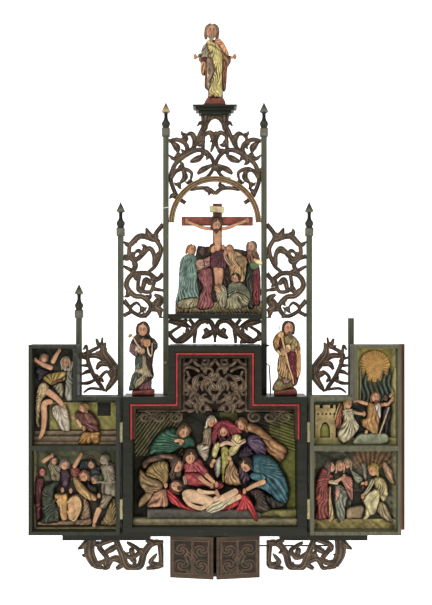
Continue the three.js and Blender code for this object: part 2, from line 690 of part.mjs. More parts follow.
function addShrine() {
  const outer = teePoints(0, -lowHalf);
  add(altar, 'shrine_back_board', plate(outline(outer), 0, boards), green);

  const inner = teePoints(shrineWall, -lowHalf + shrineFoot);
  const lined = lowWidth / 2 - shrineWall - lining;
  const hole = [
    [-lined, inner[0][1]], [lined, inner[0][1]], [lined, liningTop], [inner[1][0], liningTop],
    ...inner.slice(2), [inner[0][0], liningTop], [-lined, liningTop],
  ];
  const ring = outline(outer);
  ring.holes.push(outline(hole));
  const caseDepth = shrineDepth - boards - touch;
  add(altar, 'shrine_case', plate(ring, -boards - touch, caseDepth), green);

  const bandOuter = teePoints(shrineWall + touch, liningTop + touch);
  const bandInner = teePoints(shrineWall + beadWidth + coveWidth, liningTop + touch);
  const gate = [
    bandOuter[0], bandInner[0], ...bandInner.slice(2).reverse(),
    bandInner[1], bandOuter[1], ...bandOuter.slice(2),
  ];
  const mouldingBack = front + mouldingDepth + mouldingSet;
  add(altar, 'shrine_moulding', plate(outline(gate), mouldingBack, mouldingDepth), red);

  const half = lined - touch;
  const foot = -lowHalf + shrineFoot + touch;
  const top = foot + reliefHeight;
  const carved = relief({
    left: -half, right: half, foot, top, cell: reliefCell, inside: () => true, centre: [0, (foot + top) / 2],
    back: -boards - touch, ground: reliefGround, deep: reliefRise, limbs: centreLimbs,
    steps: [{ upTo: 7, share: 1.18 }, { upTo: 13, share: 0.95 }],
  });
  add(altar, 'centre_relief', carved, carving);

  const traceryHalf = highWidth / 2 - shrineWall - beadWidth - coveWidth - touch;
  const traceryFoot = top + 3;
  const traceryTop = shrineTop - shrineWall - beadWidth - coveWidth - touch;
  const back = mouldingBack + scrollThick;
  const cornerOuter = lowWidth / 2 - shrineWall - beadWidth - coveWidth - touch;
  const cornerTop = shoulder - shrineWall - beadWidth - coveWidth - touch;
  const scrolls = scrollwork(
    bothSides(traceryScrolls), 0, 2 * traceryHalf, traceryFoot, traceryTop - traceryFoot, back, scrollThick,
  );
  const rim = (points) => ribbon(points, [rimWidth, rimWidth, rimWidth], back, scrollThick);
  scrolls.push(rim([[-traceryHalf, traceryTop - rimWidth / 2], [traceryHalf, traceryTop - rimWidth / 2]]));
  for (const side of [-1, 1]) {
    const upright = side * (traceryHalf - rimWidth / 2);
    const level = cornerTop - rimWidth / 2;
    scrolls.push(rim([[upright, cornerTop - rimWidth], [upright, traceryTop - 1]]));
    scrolls.push(rim([[side * (traceryHalf - rimWidth), level], [side * cornerOuter, level]]));
    const reach = cornerOuter - traceryHalf;
    for (let i = 0; i < 3; i += 1) {
      const x = traceryHalf + reach * (i + 0.5) / 3;
      const r = reach / 7;
      const curl = [170, 80, -10, -100].map((a) => {
        const t = THREE.MathUtils.degToRad(a);
        return [side * (x + r * Math.cos(t)), cornerTop - rimWidth - r * 0.8 + r * Math.sin(t)];
      });
      scrolls.push(ribbon(curl, [5, 5, 3], back, scrollThick));
    }
  }
  add(altar, 'centre_tracery', join(scrolls), scrollBrown);
}

function finial() {
  const w = finialWidth / 2;
  const h = finialHeight;
  const foot = block(-w, w, -w, w, 0, h * 0.25);
  const profile = [
    [0, h * 0.25 - 1], [w * 0.75, h * 0.25 - 1], [w * 0.98, h * 0.36], [w * 0.48, h * 0.55],
    [w * 0.92, h * 0.74], [0, h],
  ];
  const turned = new THREE.LatheGeometry(profile.map(([r, z]) => new THREE.Vector2(r, z)), 6);
  return join([foot, turned.rotateX(Math.PI / 2)]);
}

function addBackFrame() {
  const posts = [
    ['main', mainPostX, shoulder + touch, mainPostTop, true],
    ['middle', midPostX, barTop + touch, midPostTop, true],
    ['outer', outerPostX, barTop + touch, outerPostTop, false],
  ];
  for (const side of [-1, 1]) {
    const hand = side < 0 ? 'left' : 'right';
    for (const [name, x, foot, top, crowned] of posts) {
      const centre = side * x;
      const half = postSize / 2;
      add(altar, `${hand}_${name}_post`, block(-half, half, -half, half, foot, top), postGreen, centre, postY, 0);
      const hasFinial = crowned || side < 0;
      if (hasFinial) add(altar, `${hand}_${name}_finial`, finial(), postGreen, centre, postY, top + touch);
    }
  }
  const shelfFoot = shelfTop - shelfHeight;
  add(altar, 'crucifixion_shelf', block(-mainClear, mainClear, -shelfDepth, 0, shelfFoot, shelfTop), green);

  const friezeFoot = shrineTop + touch;
  const friezeHeight = shelfFoot - touch - friezeFoot;
  const frieze = scrollwork(
    bothSides(friezeScrolls), 0, 2 * mainClear, friezeFoot, friezeHeight, panelBack, scrollThick,
  );
  const friezeBoard = fitted(frieze, -mainClear, mainClear, friezeFoot, friezeFoot + friezeHeight);
  add(altar, 'scroll_frieze', friezeBoard, scrollBrown);

  const inner = mainPostX + postSize / 2 + touch;
  const outer = midPostX - postSize / 2 - touch;
  const panelFoot = shelfFoot;
  const panelTop = crestFoot;
  const height = panelTop - panelFoot;
  const vines = scrollwork(sideScrolls, -outer, outer - inner, panelFoot, height, panelBack, scrollThick);
  const panel = fitted(vines, -outer, -inner, panelFoot, panelTop);
  const cheekInner = midPostX + postSize / 2 + touch;
  const cheekOuter = outerPostX - postSize / 2 - touch;
  const cheekFoot = shoulder + 2;
  const cheekTop = outerPostTop - cheekDrop;
  const leaves = scrollwork(
    cheekScrolls, -cheekOuter, cheekOuter - cheekInner, cheekFoot, cheekTop - cheekFoot, panelBack, scrollThick,
  );
  const cheek = fitted(leaves, -cheekOuter, -cheekInner, cheekFoot, cheekTop);
  add(altar, 'left_scroll_panel', panel, scrollBrown);
  add(altar, 'right_scroll_panel', mirrored(panel), scrollBrown);
  add(altar, 'left_outer_scroll', cheek, scrollBrown);
  add(altar, 'right_outer_scroll', mirrored(cheek), scrollBrown);
}

function addCrest() {
  const width = 2 * mainClear;
  const height = crestTop - crestFoot;
  const halves = bothSides([...crestScrolls, cusp]);
  const ribs = scrollwork(halves, 0, width, crestFoot, height, panelBack, scrollThick);
  const radius = mainClear - archThick / 2;
  const arch = Array.from({ length: 13 }, (_, i) => {
    const turn = Math.PI * i / 12;
    return [radius * Math.cos(turn), crestFoot + radius * Math.sin(turn)];
  });
  ribs.push(ribbon(arch, [archThick, archThick, archThick], panelBack + 2, scrollThick + 4));
  const corbelTop = crestTop - touch;
  const corbelHalf = corbelWidth / 2;
  ribs.push(block(-corbelHalf, corbelHalf, panelBack - scrollThick, panelBack, corbelTop - 5, corbelTop));
  add(altar, 'crest_scrollwork', fitted(ribs, -mainClear, mainClear, crestFoot, corbelTop), scrollBrown);

  const slab = [];
  let level = crestTop;
  slabSteps.forEach((step, i) => {
    const set = slabLip * (slabSteps.length - 1 - i);
    const half = slabWidth / 2 - set;
    const deep = slabDepth - set;
    slab.push(block(-half, half, -deep, 0, level - (i ? 0.5 : 0), level + step));
    level += step;
  });
  add(altar, 'crest_slab', join(slab), green);
  const crown = statue(topStatueHeight, { round: true, spread: true, sway: 1 });
  add(altar, 'top_statue', join(crown), carving, 0, -slabDepth / 2, level + touch);
}

function addFigures() {
  for (const side of [-1, 1]) {
    const body = statue(saintHeight, { round: false, spread: false, sway: side });
    const [staffTop, staffFoot] = side < 0 ? [[-0.17, 0.8], [0.03, 0.36]] : [[-0.11, 0.97], [0.09, 0.14]];
    const ends = [staffTop, staffFoot].map(([x, z]) => [x * saintHeight, -0.115 * saintHeight, z * saintHeight]);
    const middle = ends[0].map((value, i) => (value + ends[1][i]) / 2);
    body.push(arm([ends[0], middle, ends[1]], [0.014 * saintHeight, 0.014 * saintHeight]));
    const name = side < 0 ? 'left_saint' : 'right_saint';
    add(altar, name, join(body), carving, side * saintX, saintY, shoulder + touch);
  }

  const h = groupHeight;
  const back = -groupBack;
  const front0 = back - groupThick;
  const middle = back - groupThick / 2;
  const p = h / 100;
  // The rocky foot reaches to the right main post; q is a share of its reach from the middle
  const footMiddle = 2.1;
  const footHalf = 39.1;
  const q = (mainClear - groupGap) / (footMiddle + footHalf);
  const pieces = [
    block(-4.1 * p, 4.1 * p, back - 4.6 * p, back, 2.3 * p, h),
    block(-32 * p, 32 * p, back - 4.6 * p, back, 79 * p, 87 * p),
    block(-7 * p, 7 * p, back - 5.7 * p, back - 0.4 * p, 90.5 * p, 96.8 * p),
    loft([
      [0, footMiddle * q, middle, footHalf * q, groupThick / 2],
      [9 * p, footMiddle * q, middle, 0.92 * footHalf * q, 4.2 * p],
    ], 10, 5, 0.03),
    loft([
      [34 * p, 0, middle, 1.9 * p, 1.9 * p], [56 * p, -0.4 * p, middle, 3.8 * p, 3 * p],
      [72 * p, 0, middle, 5 * p, 3 * p], [84 * p, -0.8 * p, middle, 1.9 * p, 1.9 * p],
    ], 7, 2, 0.02),
    ball(-1.9 * p, middle - 0.8 * p, 87 * p, 3 * p, 3 * p, 3.8 * p),
  ];
  for (const side of [-1, 1]) {
    pieces.push(arm([
      [side * 3.4 * p, middle, 79 * p], [side * 15.3 * p, middle - 0.8 * p, 80 * p],
      [side * 28.2 * p, middle + 1.5 * p, 83.5 * p],
    ], [2.3 * p, 1.5 * p]));
  }
  const mourners = [
    { x: -27.5, lean: 2.3, top: 71, wide: 8.6 }, { x: -12, lean: 0.8, top: 68, wide: 6 },
    { x: 18.5, lean: -4.6, top: 70, wide: 6.6 }, { x: 35, lean: -1.8, top: 71, wide: 5.9 },
    { x: 13, lean: 2.6, top: 40, wide: 11 },
  ];
  for (const { x, lean, top, wide } of mourners) {
    pieces.push(loft([
      [2.3 * p, x * q, middle, wide * q, 5 * p], [top * 0.5 * p, x * q, middle, wide * 0.9 * q, 5 * p],
      [top * 0.8 * p, (x + lean) * q, middle - 0.4 * p, wide * 0.65 * q, 3.8 * p],
      [top * 0.92 * p, (x + lean) * q, middle - 0.4 * p, 1.9 * q, 2.3 * p],
    ], 6, 3, 0.08));
    pieces.push(ball((x + lean) * q, middle - 0.8 * p, top * 0.93 * p, 3.2 * p, 3.4 * p, 4.2 * p));
  }
  pieces.push(arm([
    [-11.5 * p, middle, 50 * p], [-4.6 * p, front0 + 2.3 * p, 56 * p], [3 * p, front0 + 3 * p, 66 * p],
  ], [2.7 * p, 1.5 * p]));
  add(altar, 'crucifixion_group', join(pieces), carving, 0, 0, shelfTop + touch);
}

function addUnderFrame() {
  const bracketTop = barTop - barHeight - touch;
  const bracketFoot = bracketTop - bracketDrop;
  const back = -bracketSet;
  const vines = scrollwork(
    bracketScrolls, -bracketOuter, bracketOuter - bracketInner, bracketFoot, bracketDrop, back, scrollThick,
  );
  vines.push(block(-bracketOuter + bracketInset, -barInner, back - scrollThick, back, bracketTop - 4, bracketTop));
  const bracket = fitted(vines, -bracketOuter, -bracketInner, bracketFoot, bracketTop);
  add(altar, 'left_bottom_bracket', bracket, scrollBrown);
  add(altar, 'right_bottom_bracket', mirrored(bracket), scrollBrown);
  for (const side of [-1, 1]) {
    const bar = sided(block(barInner, barOuter, -barDepth, 0, barTop - barHeight, barTop), side);
    add(altar, side < 0 ? 'left_bottom_bar' : 'right_bottom_bar', bar, green);
  }
}

// One half of a butt hinge on the +x side of its pin: a leaf that reaches back from the pin and its knuckles.
// The leaf lies from x = near to x = near + leafThick.
function hingeHalf(near, knuckles) {
  const pieces = [block(near, near + leafThick, 0, leafDepth, 0, hingeHeight)];
  for (const [low, high] of knuckles) {
    const barrel = new THREE.CylinderGeometry(knuckleRadius, knuckleRadius, high - low, 6).rotateX(Math.PI / 2);
    pieces.push(barrel.translate(0, 0, (low + high) / 2));
  }
  return pieces;
}

function addWing(side) {
  const hand = side < 0 ? 'left' : 'right';
  const wing = new THREE.Group();
  wing.position.set(side * hingeX, hingeY, wingBottom);
  altar.add(wing);

  // x runs from the pin outwards; the front face lies just behind the pin
  const edge = wingGap / 2;
  const faceY = front - hingeY;
  const backY = faceY + wingDepth;
  const frame = outline(ellPoints(0, 0, 0, 0, 0));
  frame.holes.push(outline(ellPoints(hingeStile, freeStile, innerStile, dividerFoot + dividerRail, wingRail)));
  frame.holes.push(outline([
    [hingeStile, wingRail], [wingWidth - freeStile, wingRail],
    [wingWidth - freeStile, dividerFoot], [hingeStile, dividerFoot],
  ]));
  const frameGeometry = plate(frame, 0, wingDepth - boards - touch).translate(edge, backY - boards - touch, 0);
  add(wing, `${hand}_wing_frame`, sided(frameGeometry, side), green);
  const boardGeometry = plate(outline(ellPoints(0, 0, 0, 0, 0)), 0, boards).translate(edge, backY, 0);
  add(wing, `${hand}_wing_board`, sided(boardGeometry, side), mahogany);

  const innerX = edge + hingeStile + touch;
  const outerX = edge + wingWidth - freeStile - touch;
  const stepX = edge + wingWidth - wingHighWidth + innerStile + touch;
  const stepZ = wingLowHeight - wingRail - touch;
  const upper = [dividerFoot + dividerRail + touch, wingHeight - wingRail - touch];
  const lower = [wingRail + touch, dividerFoot - touch];
  const [left, right] = side < 0 ? [-outerX, -innerX] : [innerX, outerX];
  const common = { left, right, back: backY - boards - touch, ground: wingGround, deep: wingRise, cell: wingCell };
  const [upperLimbs, lowerLimbs] = side < 0 ? [leftUpperLimbs, leftLowerLimbs] : [rightUpperLimbs, rightLowerLimbs];
  const upperRelief = relief({
    ...common, foot: upper[0], top: upper[1], limbs: upperLimbs,
    inside: (x, z) => z < stepZ || side * x > stepX,
    centre: [side * (stepX + outerX) / 2, (upper[0] + stepZ) / 2],
    corner: [side * stepX, stepZ], steps: [{ upTo: 6, share: 0.9 }, { upTo: 13, share: 0.64 }],
  });
  const lowerRelief = relief({
    ...common, foot: lower[0], top: lower[1], limbs: lowerLimbs, inside: () => true,
    centre: [(left + right) / 2, (lower[0] + lower[1]) / 2], steps: [{ upTo: 6, share: 0.73 }],
  });
  add(wing, `${hand}_wing_upper_relief`, upperRelief, carving);
  add(wing, `${hand}_wing_lower_relief`, lowerRelief, carving);

  if (side > 0) {
    const free = edge + wingWidth;
    const strip = join([
      block(free + stripReach - stripWidth, free + 1, backY + touch, backY + stripClear + stripThick, 0, wingHeight),
      block(free, free + stripReach, backY + stripClear, backY + stripClear + stripThick, 0, wingHeight),
    ]);
    add(wing, 'right_wing_closing_strip', strip, mahogany);
  }

  const third = hingeHeight / 3;
  const slack = 0.4;
  const wingLeafX = edge - touch - leafThick;
  hingeLift.forEach((lift, i) => {
    const level = i ? 'upper' : 'lower';
    const moving = hingeHalf(wingLeafX, [[third + slack, 2 * third - slack]]);
    const pins = hingeHalf(wingLeafX, [[0, third], [2 * third, hingeHeight]]);
    const around = knuckleRadius + slack;
    const room = (low, high) => block(-around, around, -around, around, low, high);
    const notched = carve(join(moving), [room(-slack, third + slack), room(2 * third - slack, hingeHeight + slack)]);
    add(wing, `${hand}_wing_${level}_hinge_leaf`, sided(notched, side), brass, 0, 0, lift);
    const fixed = carve(join(pins), [room(third, 2 * third)]);
    const mesh = add(altar, `${hand}_shrine_${level}_hinge_leaf`, sided(fixed, -side), brass);
    mesh.position.set(side * hingeX, hingeY, wingBottom + lift);
  });
}

function addTabernacle() {
  const top = barTop;
  const foot = top - boxHeight;
  const half = boxWidth / 2;
  const shell = block(-half, half, -boxDepth, 0, foot, top);
  const room = block(-half + boxWall, half - boxWall, -boxDepth - 1, -boxWall, foot + boxWall, top - boxWall);
  add(altar, 'tabernacle_box', carve(shell, [room]), mahogany);

  const doorHeight = boxHeight - 1;
  const doorWidth = half - doorGap / 2;
  for (const side of [-1, 1]) {
    const hand = side < 0 ? 'left' : 'right';
    const door = new THREE.Group();
    const pinY = -boxDepth - touch - doorPinRadius;
    door.position.set(side * half, pinY, foot + 0.5);
    door.rotation.z = side * THREE.MathUtils.degToRad(doorAjar);
    altar.add(door);
    const face = -doorPinRadius - doorThick / 2;
    const panel = block(-doorWidth, 0, -doorThick + doorPinRadius, doorPinRadius, 0, doorHeight);
    const sunk = [[0.1, 0.52], [0.56, 0.94]].map(([a, b]) => block(
      -doorWidth * b, -doorWidth * a, face - doorThick, -doorThick + doorPinRadius + 2, doorHeight * 0.12, doorHeight * 0.88,
    ));
    add(door, `${hand}_tabernacle_door`, sided(carve(panel, sunk), side), doorBrown);
  }
}

function addSmallMetal() {
  const half = switchWidth / 2;
  const box = block(-half, half, -switchDepth, 0, switchBottom, switchTop);
  const screws = [0.12, 0.9].map((share) => {
    const head = new THREE.CylinderGeometry(2, 2, 1.6, 8);
    return head.translate(0, -switchDepth - 0.4, switchBottom + (switchTop - switchBottom) * (1 - share));
  });
  const knob = new THREE.CylinderGeometry(2.6, 2.6, 6, 8).rotateZ(Math.PI / 2);
  const strip = join([box, ...screws, knob.translate(half + 2, -switchDepth / 2, switchTop - 4)]);
  const seat = postFront - touch;
  add(altar, 'switch_strip', strip, black, mainPostX, seat, 0);

  const start = new THREE.Vector3(mainPostX + half + touch, seat - switchDepth / 2, leadTop);
  const end = new THREE.Vector3(start.x + leadReach, start.y - 4, shoulder + touch);
  const route = new THREE.CatmullRomCurve3([
    start, new THREE.Vector3(start.x + 4, start.y, start.z),
    new THREE.Vector3(start.x + leadReach * 0.8, start.y - 2, start.z - 22),
    new THREE.Vector3(end.x, end.y, end.z + 16), end,
  ]);
  const turns = 2 * Math.PI / 8;
  const ring = Array.from({ length: 8 }, (_, k) => k * turns);
  const section = outline(ring.map((turn) => [leadRadius * Math.cos(turn), leadRadius * Math.sin(turn)]));
  const lead = new THREE.ExtrudeGeometry(section, { steps: 9, extrudePath: route });
  lead.computeBoundingBox();
  const drop = lead.boundingBox.min.z - shoulder - touch;
  add(altar, 'lead', lead, black, 0, 0, Math.max(0, -drop));

  const post = new THREE.CylinderGeometry(knobRadius, knobRadius * 0.7, knobLength, 10);
  add(altar, 'left_post_knob', post, brass, -mainPostX, seat - knobLength / 2, knobHeight);

  const rodEnd = bracketOuter - 40;
  const rodLength = rodEnd - boxWidth / 2 - touch;
  const rod = new THREE.CylinderGeometry(rodRadius, rodRadius, rodLength, 8).rotateZ(Math.PI / 2);
  add(altar, 'bottom_rod', rod, black, rodEnd - rodLength / 2, -12, rodHeight);
}

addShrine();
addBackFrame();
addCrest();
addFigures();
addUnderFrame();
addWing(-1);
addWing(1);
addTabernacle();
addSmallMetal();

export default altar;
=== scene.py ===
"""A carved and painted wall altar with two open wings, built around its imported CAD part.

Boards, posts, doors and hinges are the CAD solids with their edges softened. The carvings are surfaces
of their own in the room of their solids. A relief is a height over a grid: cloths are laid over its
ground one by one, each a soft dome within an outline, with folds that spread from a point; a rim and a
back close it. A limb is a round section carried along a curve. A head is a ball pushed in and out by
small bumps. A scroll is a ridged strip carried along a curve.
"""

import bpy
import numpy as np
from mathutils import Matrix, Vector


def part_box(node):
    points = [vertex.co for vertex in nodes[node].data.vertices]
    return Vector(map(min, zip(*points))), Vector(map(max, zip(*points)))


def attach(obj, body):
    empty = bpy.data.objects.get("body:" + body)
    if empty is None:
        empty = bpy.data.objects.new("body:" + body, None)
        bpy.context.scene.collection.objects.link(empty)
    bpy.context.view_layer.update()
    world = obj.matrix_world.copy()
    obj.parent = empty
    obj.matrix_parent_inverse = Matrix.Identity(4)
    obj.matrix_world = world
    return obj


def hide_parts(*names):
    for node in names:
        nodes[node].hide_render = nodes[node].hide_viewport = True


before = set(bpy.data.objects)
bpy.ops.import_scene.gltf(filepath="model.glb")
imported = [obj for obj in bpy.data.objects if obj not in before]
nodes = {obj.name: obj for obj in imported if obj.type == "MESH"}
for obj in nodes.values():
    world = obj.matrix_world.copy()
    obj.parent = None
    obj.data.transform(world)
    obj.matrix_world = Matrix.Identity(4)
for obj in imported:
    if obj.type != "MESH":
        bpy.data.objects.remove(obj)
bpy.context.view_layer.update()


# Boards, posts and bars
# Plain sawn pine, planed and glued, painted dark green-grey; their edges are worn down to the wood.
# The posts are a lighter grey-green and stand behind the shrine, the boards lie flat against it.

def rgb(*values):
    """Colour given as screen values from 0 to 255, as linear light."""
    c = np.array(values, float) / 255
    return np.where(c < 0.04045, c / 12.92, ((c + 0.055) / 1.055) ** 2.4)


def new_material(name, rough):
    """A new material of a roughness, and its shader."""
    material = bpy.data.materials.new(name)
    material.use_nodes = True
    shader = material.node_tree.nodes["Principled BSDF"]
    shader.inputs["Roughness"].default_value = rough
    shader.inputs["Specular IOR Level"].default_value = 0.22
    return material, shader


def node_of(material, kind, **values):
    """A new shader node with its inputs or settings given by name."""
    node = material.node_tree.nodes.new(kind)
    for key, value in values.items():
        if key in node.inputs:
            node.inputs[key].default_value = value
        else:
            setattr(node, key.lower(), value)
    return node


def painted_board(name, paint, worn, grain="x", rough=0.5, wear=0.62):
    """Paint over wood: long soft streaks along the grain and small chips where the wood shows."""
    material, shader = new_material(name, rough)
    link = material.node_tree.links.new
    place = node_of(material, "ShaderNodeTexCoord")
    stretch = node_of(material, "ShaderNodeMapping")
    stretch.inputs["Scale"].default_value = [8 if axis == grain else 120 for axis in "xyz"]
    link(place.outputs["Object"], stretch.inputs["Vector"])
    streaks = node_of(material, "ShaderNodeTexNoise", Scale=1.0, Detail=5.0, Roughness=0.6)
    link(stretch.outputs["Vector"], streaks.inputs["Vector"])
    chips = node_of(material, "ShaderNodeTexNoise", Scale=70.0, Detail=8.0, Roughness=0.7)
    link(place.outputs["Object"], chips.inputs["Vector"])
    tone = node_of(material, "ShaderNodeValToRGB")
    tone.color_ramp.elements[0].position = 0.3
    tone.color_ramp.elements[0].color = (*rgb(*paint) * 0.6, 1)
    tone.color_ramp.elements[1].position = 0.72
    tone.color_ramp.elements[1].color = (*rgb(*paint) * 1.35, 1)
    link(streaks.outputs["Fac"], tone.inputs["Fac"])
    bare = node_of(material, "ShaderNodeValToRGB")
    bare.color_ramp.elements[0].position = wear
    bare.color_ramp.elements[0].color = (0, 0, 0, 1)
    bare.color_ramp.elements[1].position = wear + 0.07
    bare.color_ramp.elements[1].color = (1, 1, 1, 1)
    link(chips.outputs["Fac"], bare.inputs["Fac"])
    mix = node_of(material, "ShaderNodeMix", data_type="RGBA")
    link(bare.outputs["Color"], mix.inputs[0])
    link(tone.outputs["Color"], mix.inputs[6])
    mix.inputs[7].default_value = (*rgb(*worn), 1)
    link(mix.outputs[2], shader.inputs["Base Color"])
    bump = node_of(material, "ShaderNodeBump", Strength=0.25, Distance=0.0006)
    link(streaks.outputs["Fac"], bump.inputs["Height"])
    link(bump.outputs["Normal"], shader.inputs["Normal"])
    return material


def soften(node, width, material):
    """Keeps a CAD solid, rounds its edges and gives it its finish."""
    piece = nodes[node]
    bevel = piece.modifiers.new("worn edges", "BEVEL")
    bevel.width = width
    bevel.segments = 2
    bevel.limit_method = "ANGLE"
    bevel.harden_normals = False
    piece.data.materials.clear()
    piece.data.materials.append(material)


green_paint = painted_board("dark green paint", (35, 36, 26), (84, 76, 56), "x", 0.45, 0.64)
left_upright = painted_board("green paint, a little lighter", (50, 52, 41), (112, 104, 82), "z", 0.5, 0.64)
light_upright = painted_board("light grey-green paint", (98, 95, 75), (140, 128, 98), "z", 0.55, 0.62)
post_paint = painted_board("grey-green post paint", (80, 82, 66), (134, 124, 100), "z", 0.5, 0.64)
back_stain = painted_board("brown back board", (58, 43, 34), (92, 70, 52), "z", 0.7, 0.7)
mahogany = painted_board("mahogany stain", (96, 52, 36), (130, 84, 58), "z", 0.42, 0.72)
box_stain = painted_board("dark box stain", (70, 56, 46), (110, 90, 70), "x", 0.5, 0.7)

for name in ["shrine_case", "crucifixion_shelf", "left_bottom_bar", "right_bottom_bar"]:
    soften(name, 0.0009, green_paint)
soften("left_wing_frame", 0.0009, left_upright)
soften("right_wing_frame", 0.0009, light_upright)
for name in ["shrine_back_board", "left_wing_board", "right_wing_board"]:
    soften(name, 0.0005, back_stain)
for side in ["left", "right"]:
    for place in ["main", "middle", "outer"]:
        soften(f"{side}_{place}_post", 0.0009, post_paint)
soften("crest_slab", 0.0006, green_paint)
soften("tabernacle_box", 0.0008, box_stain)
soften("right_wing_closing_strip", 0.0008, mahogany)


# Hinges, knob, rod, switch strip and lead
# Pale pressed brass leaves, a turned brass knob, a blackened iron rod and a black moulded switch strip.

def plain(name, colour, rough, metal=0.0):
    """One colour, a little uneven in soft spots."""
    material, shader = new_material(name, rough)
    shader.inputs["Metallic"].default_value = metal
    link = material.node_tree.links.new
    place = node_of(material, "ShaderNodeTexCoord")
    spots = node_of(material, "ShaderNodeTexNoise", Scale=160.0, Detail=4.0)
    link(place.outputs["Object"], spots.inputs["Vector"])
    tone = node_of(material, "ShaderNodeValToRGB")
    tone.color_ramp.elements[0].position = 0.35
    tone.color_ramp.elements[0].color = (*rgb(*colour) * 0.7, 1)
    tone.color_ramp.elements[1].position = 0.7
    tone.color_ramp.elements[1].color = (*rgb(*colour) * 1.1, 1)
    link(spots.outputs["Fac"], tone.inputs["Fac"])
    link(tone.outputs["Color"], shader.inputs["Base Color"])
    return material


brass = plain("pale brass", (176, 166, 126), 0.38, 1.0)
black_iron = plain("blackened iron", (40, 40, 38), 0.5)
black_moulded = plain("black moulded", (26, 26, 27), 0.42)
for side in ["left", "right"]:
    for owner in ["shrine", "wing"]:
        for level in ["lower", "upper"]:
            soften(f"{side}_{owner}_{level}_hinge_leaf", 0.0002, brass)
soften("left_post_knob", 0.0008, brass)
soften("bottom_rod", 0.0003, black_iron)
soften("switch_strip", 0.0008, black_moulded)
soften("lead", 0.0002, black_moulded)


# Stage: a pale floor that curves up into a pale backdrop, and soft studio light
# The camera looks straight at the altar, from the distance of the photo.

def grid_faces(rows, columns, around=False):
    """Quads of a grid of points given row by row; around joins the last column to the first."""
    i, k = np.meshgrid(np.arange(rows - 1), np.arange(columns if around else columns - 1), indexing="ij")
    j = (k + 1) % columns
    quads = [i * columns + k, i * columns + j, (i + 1) * columns + j, (i + 1) * columns + k]
    return np.stack(quads, -1).reshape(-1, 4)


def new_object(name, points, faces, material, colours=None, smooth=True):
    """An object from arrays of points and quads, with a colour for every point if given."""
    mesh = bpy.data.meshes.new(name)
    mesh.from_pydata(points.reshape(-1, 3), [], faces)
    if colours is not None:
        paint = mesh.attributes.new("paint", "FLOAT_COLOR", "POINT")
        rgba = np.ones((len(mesh.vertices), 4), np.float32)
        rgba[:, :3] = np.clip(colours.reshape(-1, 3), 0, 1)
        paint.data.foreach_set("color", rgba.ravel())
    mesh.polygons.foreach_set("use_smooth", np.full(len(mesh.polygons), smooth))
    mesh.materials.append(material)
    mesh.update()
    piece = bpy.data.objects.new(name, mesh)
    bpy.context.scene.collection.objects.link(piece)
    return piece


floor_height = -0.62
bend = 1.2                           # radius between floor and backdrop
sweep_turn = np.linspace(0, np.pi / 2, 16)
sweep_y = np.concatenate([[-5.0], 2.0 + bend * np.sin(sweep_turn), [2.0 + bend]])
sweep_z = floor_height + np.concatenate([[0], bend - bend * np.cos(sweep_turn), [6.0]])
sweep_x = np.array([-6.0, 6.0])
sweep = np.stack(np.broadcast_arrays(sweep_x[None, :], sweep_y[:, None], sweep_z[:, None]), -1)
backdrop_paint, backdrop_shader = new_material("backdrop", 0.9)
backdrop_shader.inputs["Base Color"].default_value = (1.0, 1.0, 1.0, 1)
backdrop_shader.inputs["Emission Color"].default_value = (1.0, 1.0, 1.0, 1)
backdrop_shader.inputs["Emission Strength"].default_value = 0.75
backdrop = new_object("backdrop", sweep, grid_faces(18, 2)[:, ::-1], backdrop_paint)

pixel = 0.0023                       # size of a pixel of the photo at the shrine's front
photo_height = 605                   # pixels
distance = 1.932                     # from the shrine's front to the camera
aim_across, aim_up = 0.0025, 0.3777  # the point of the altar in the middle of the photo
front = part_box("shrine_case")[0].y
lens = bpy.data.cameras.new("camera")
lens.sensor_fit = "VERTICAL"
lens.sensor_height = 24
lens.lens = lens.sensor_height * distance / (photo_height * pixel)
camera = bpy.data.objects.new("camera", lens)
camera.location = (aim_across, front - distance, aim_up)
camera.rotation_euler = (np.pi / 2, 0, 0)
bpy.context.scene.collection.objects.link(camera)
bpy.context.scene.camera = camera

lamps = [                            # name, place, size, power
    ("key", (-1.3, -2.4, 1.9), 1.1, 33),
    ("fill", (1.7, -2.2, 0.9), 1.8, 8.5),
    ("top", (0.0, -0.9, 2.6), 1.1, 13),
]
for name, place, size, power in lamps:
    lamp = bpy.data.lights.new(name, "AREA")
    lamp.size = size
    lamp.energy = power
    stand = bpy.data.objects.new(name, lamp)
    stand.location = place
    towards = np.array([0, -0.05, 0.35]) - np.array(place)
    tilt = np.arctan2(np.hypot(towards[0], towards[1]), -towards[2])
    stand.rotation_euler = (tilt, 0, np.arctan2(towards[1], towards[0]) - np.pi / 2)
    bpy.context.scene.collection.objects.link(stand)
world = bpy.data.worlds.new("studio")
world.use_nodes = True
world.node_tree.nodes["Background"].inputs["Color"].default_value = (1, 1, 1, 1)
world.node_tree.nodes["Background"].inputs["Strength"].default_value = 0.3
bpy.context.scene.world = world
bpy.context.scene.view_settings.view_transform = "Standard"


# Moulding around the shrine's opening
# A turned red bead and a brown hollow, mitred strips glued inside the boards' edge; the red is worn
# dark along the glue line. It ends at the thickening strips, so the bottom of the bead is open.

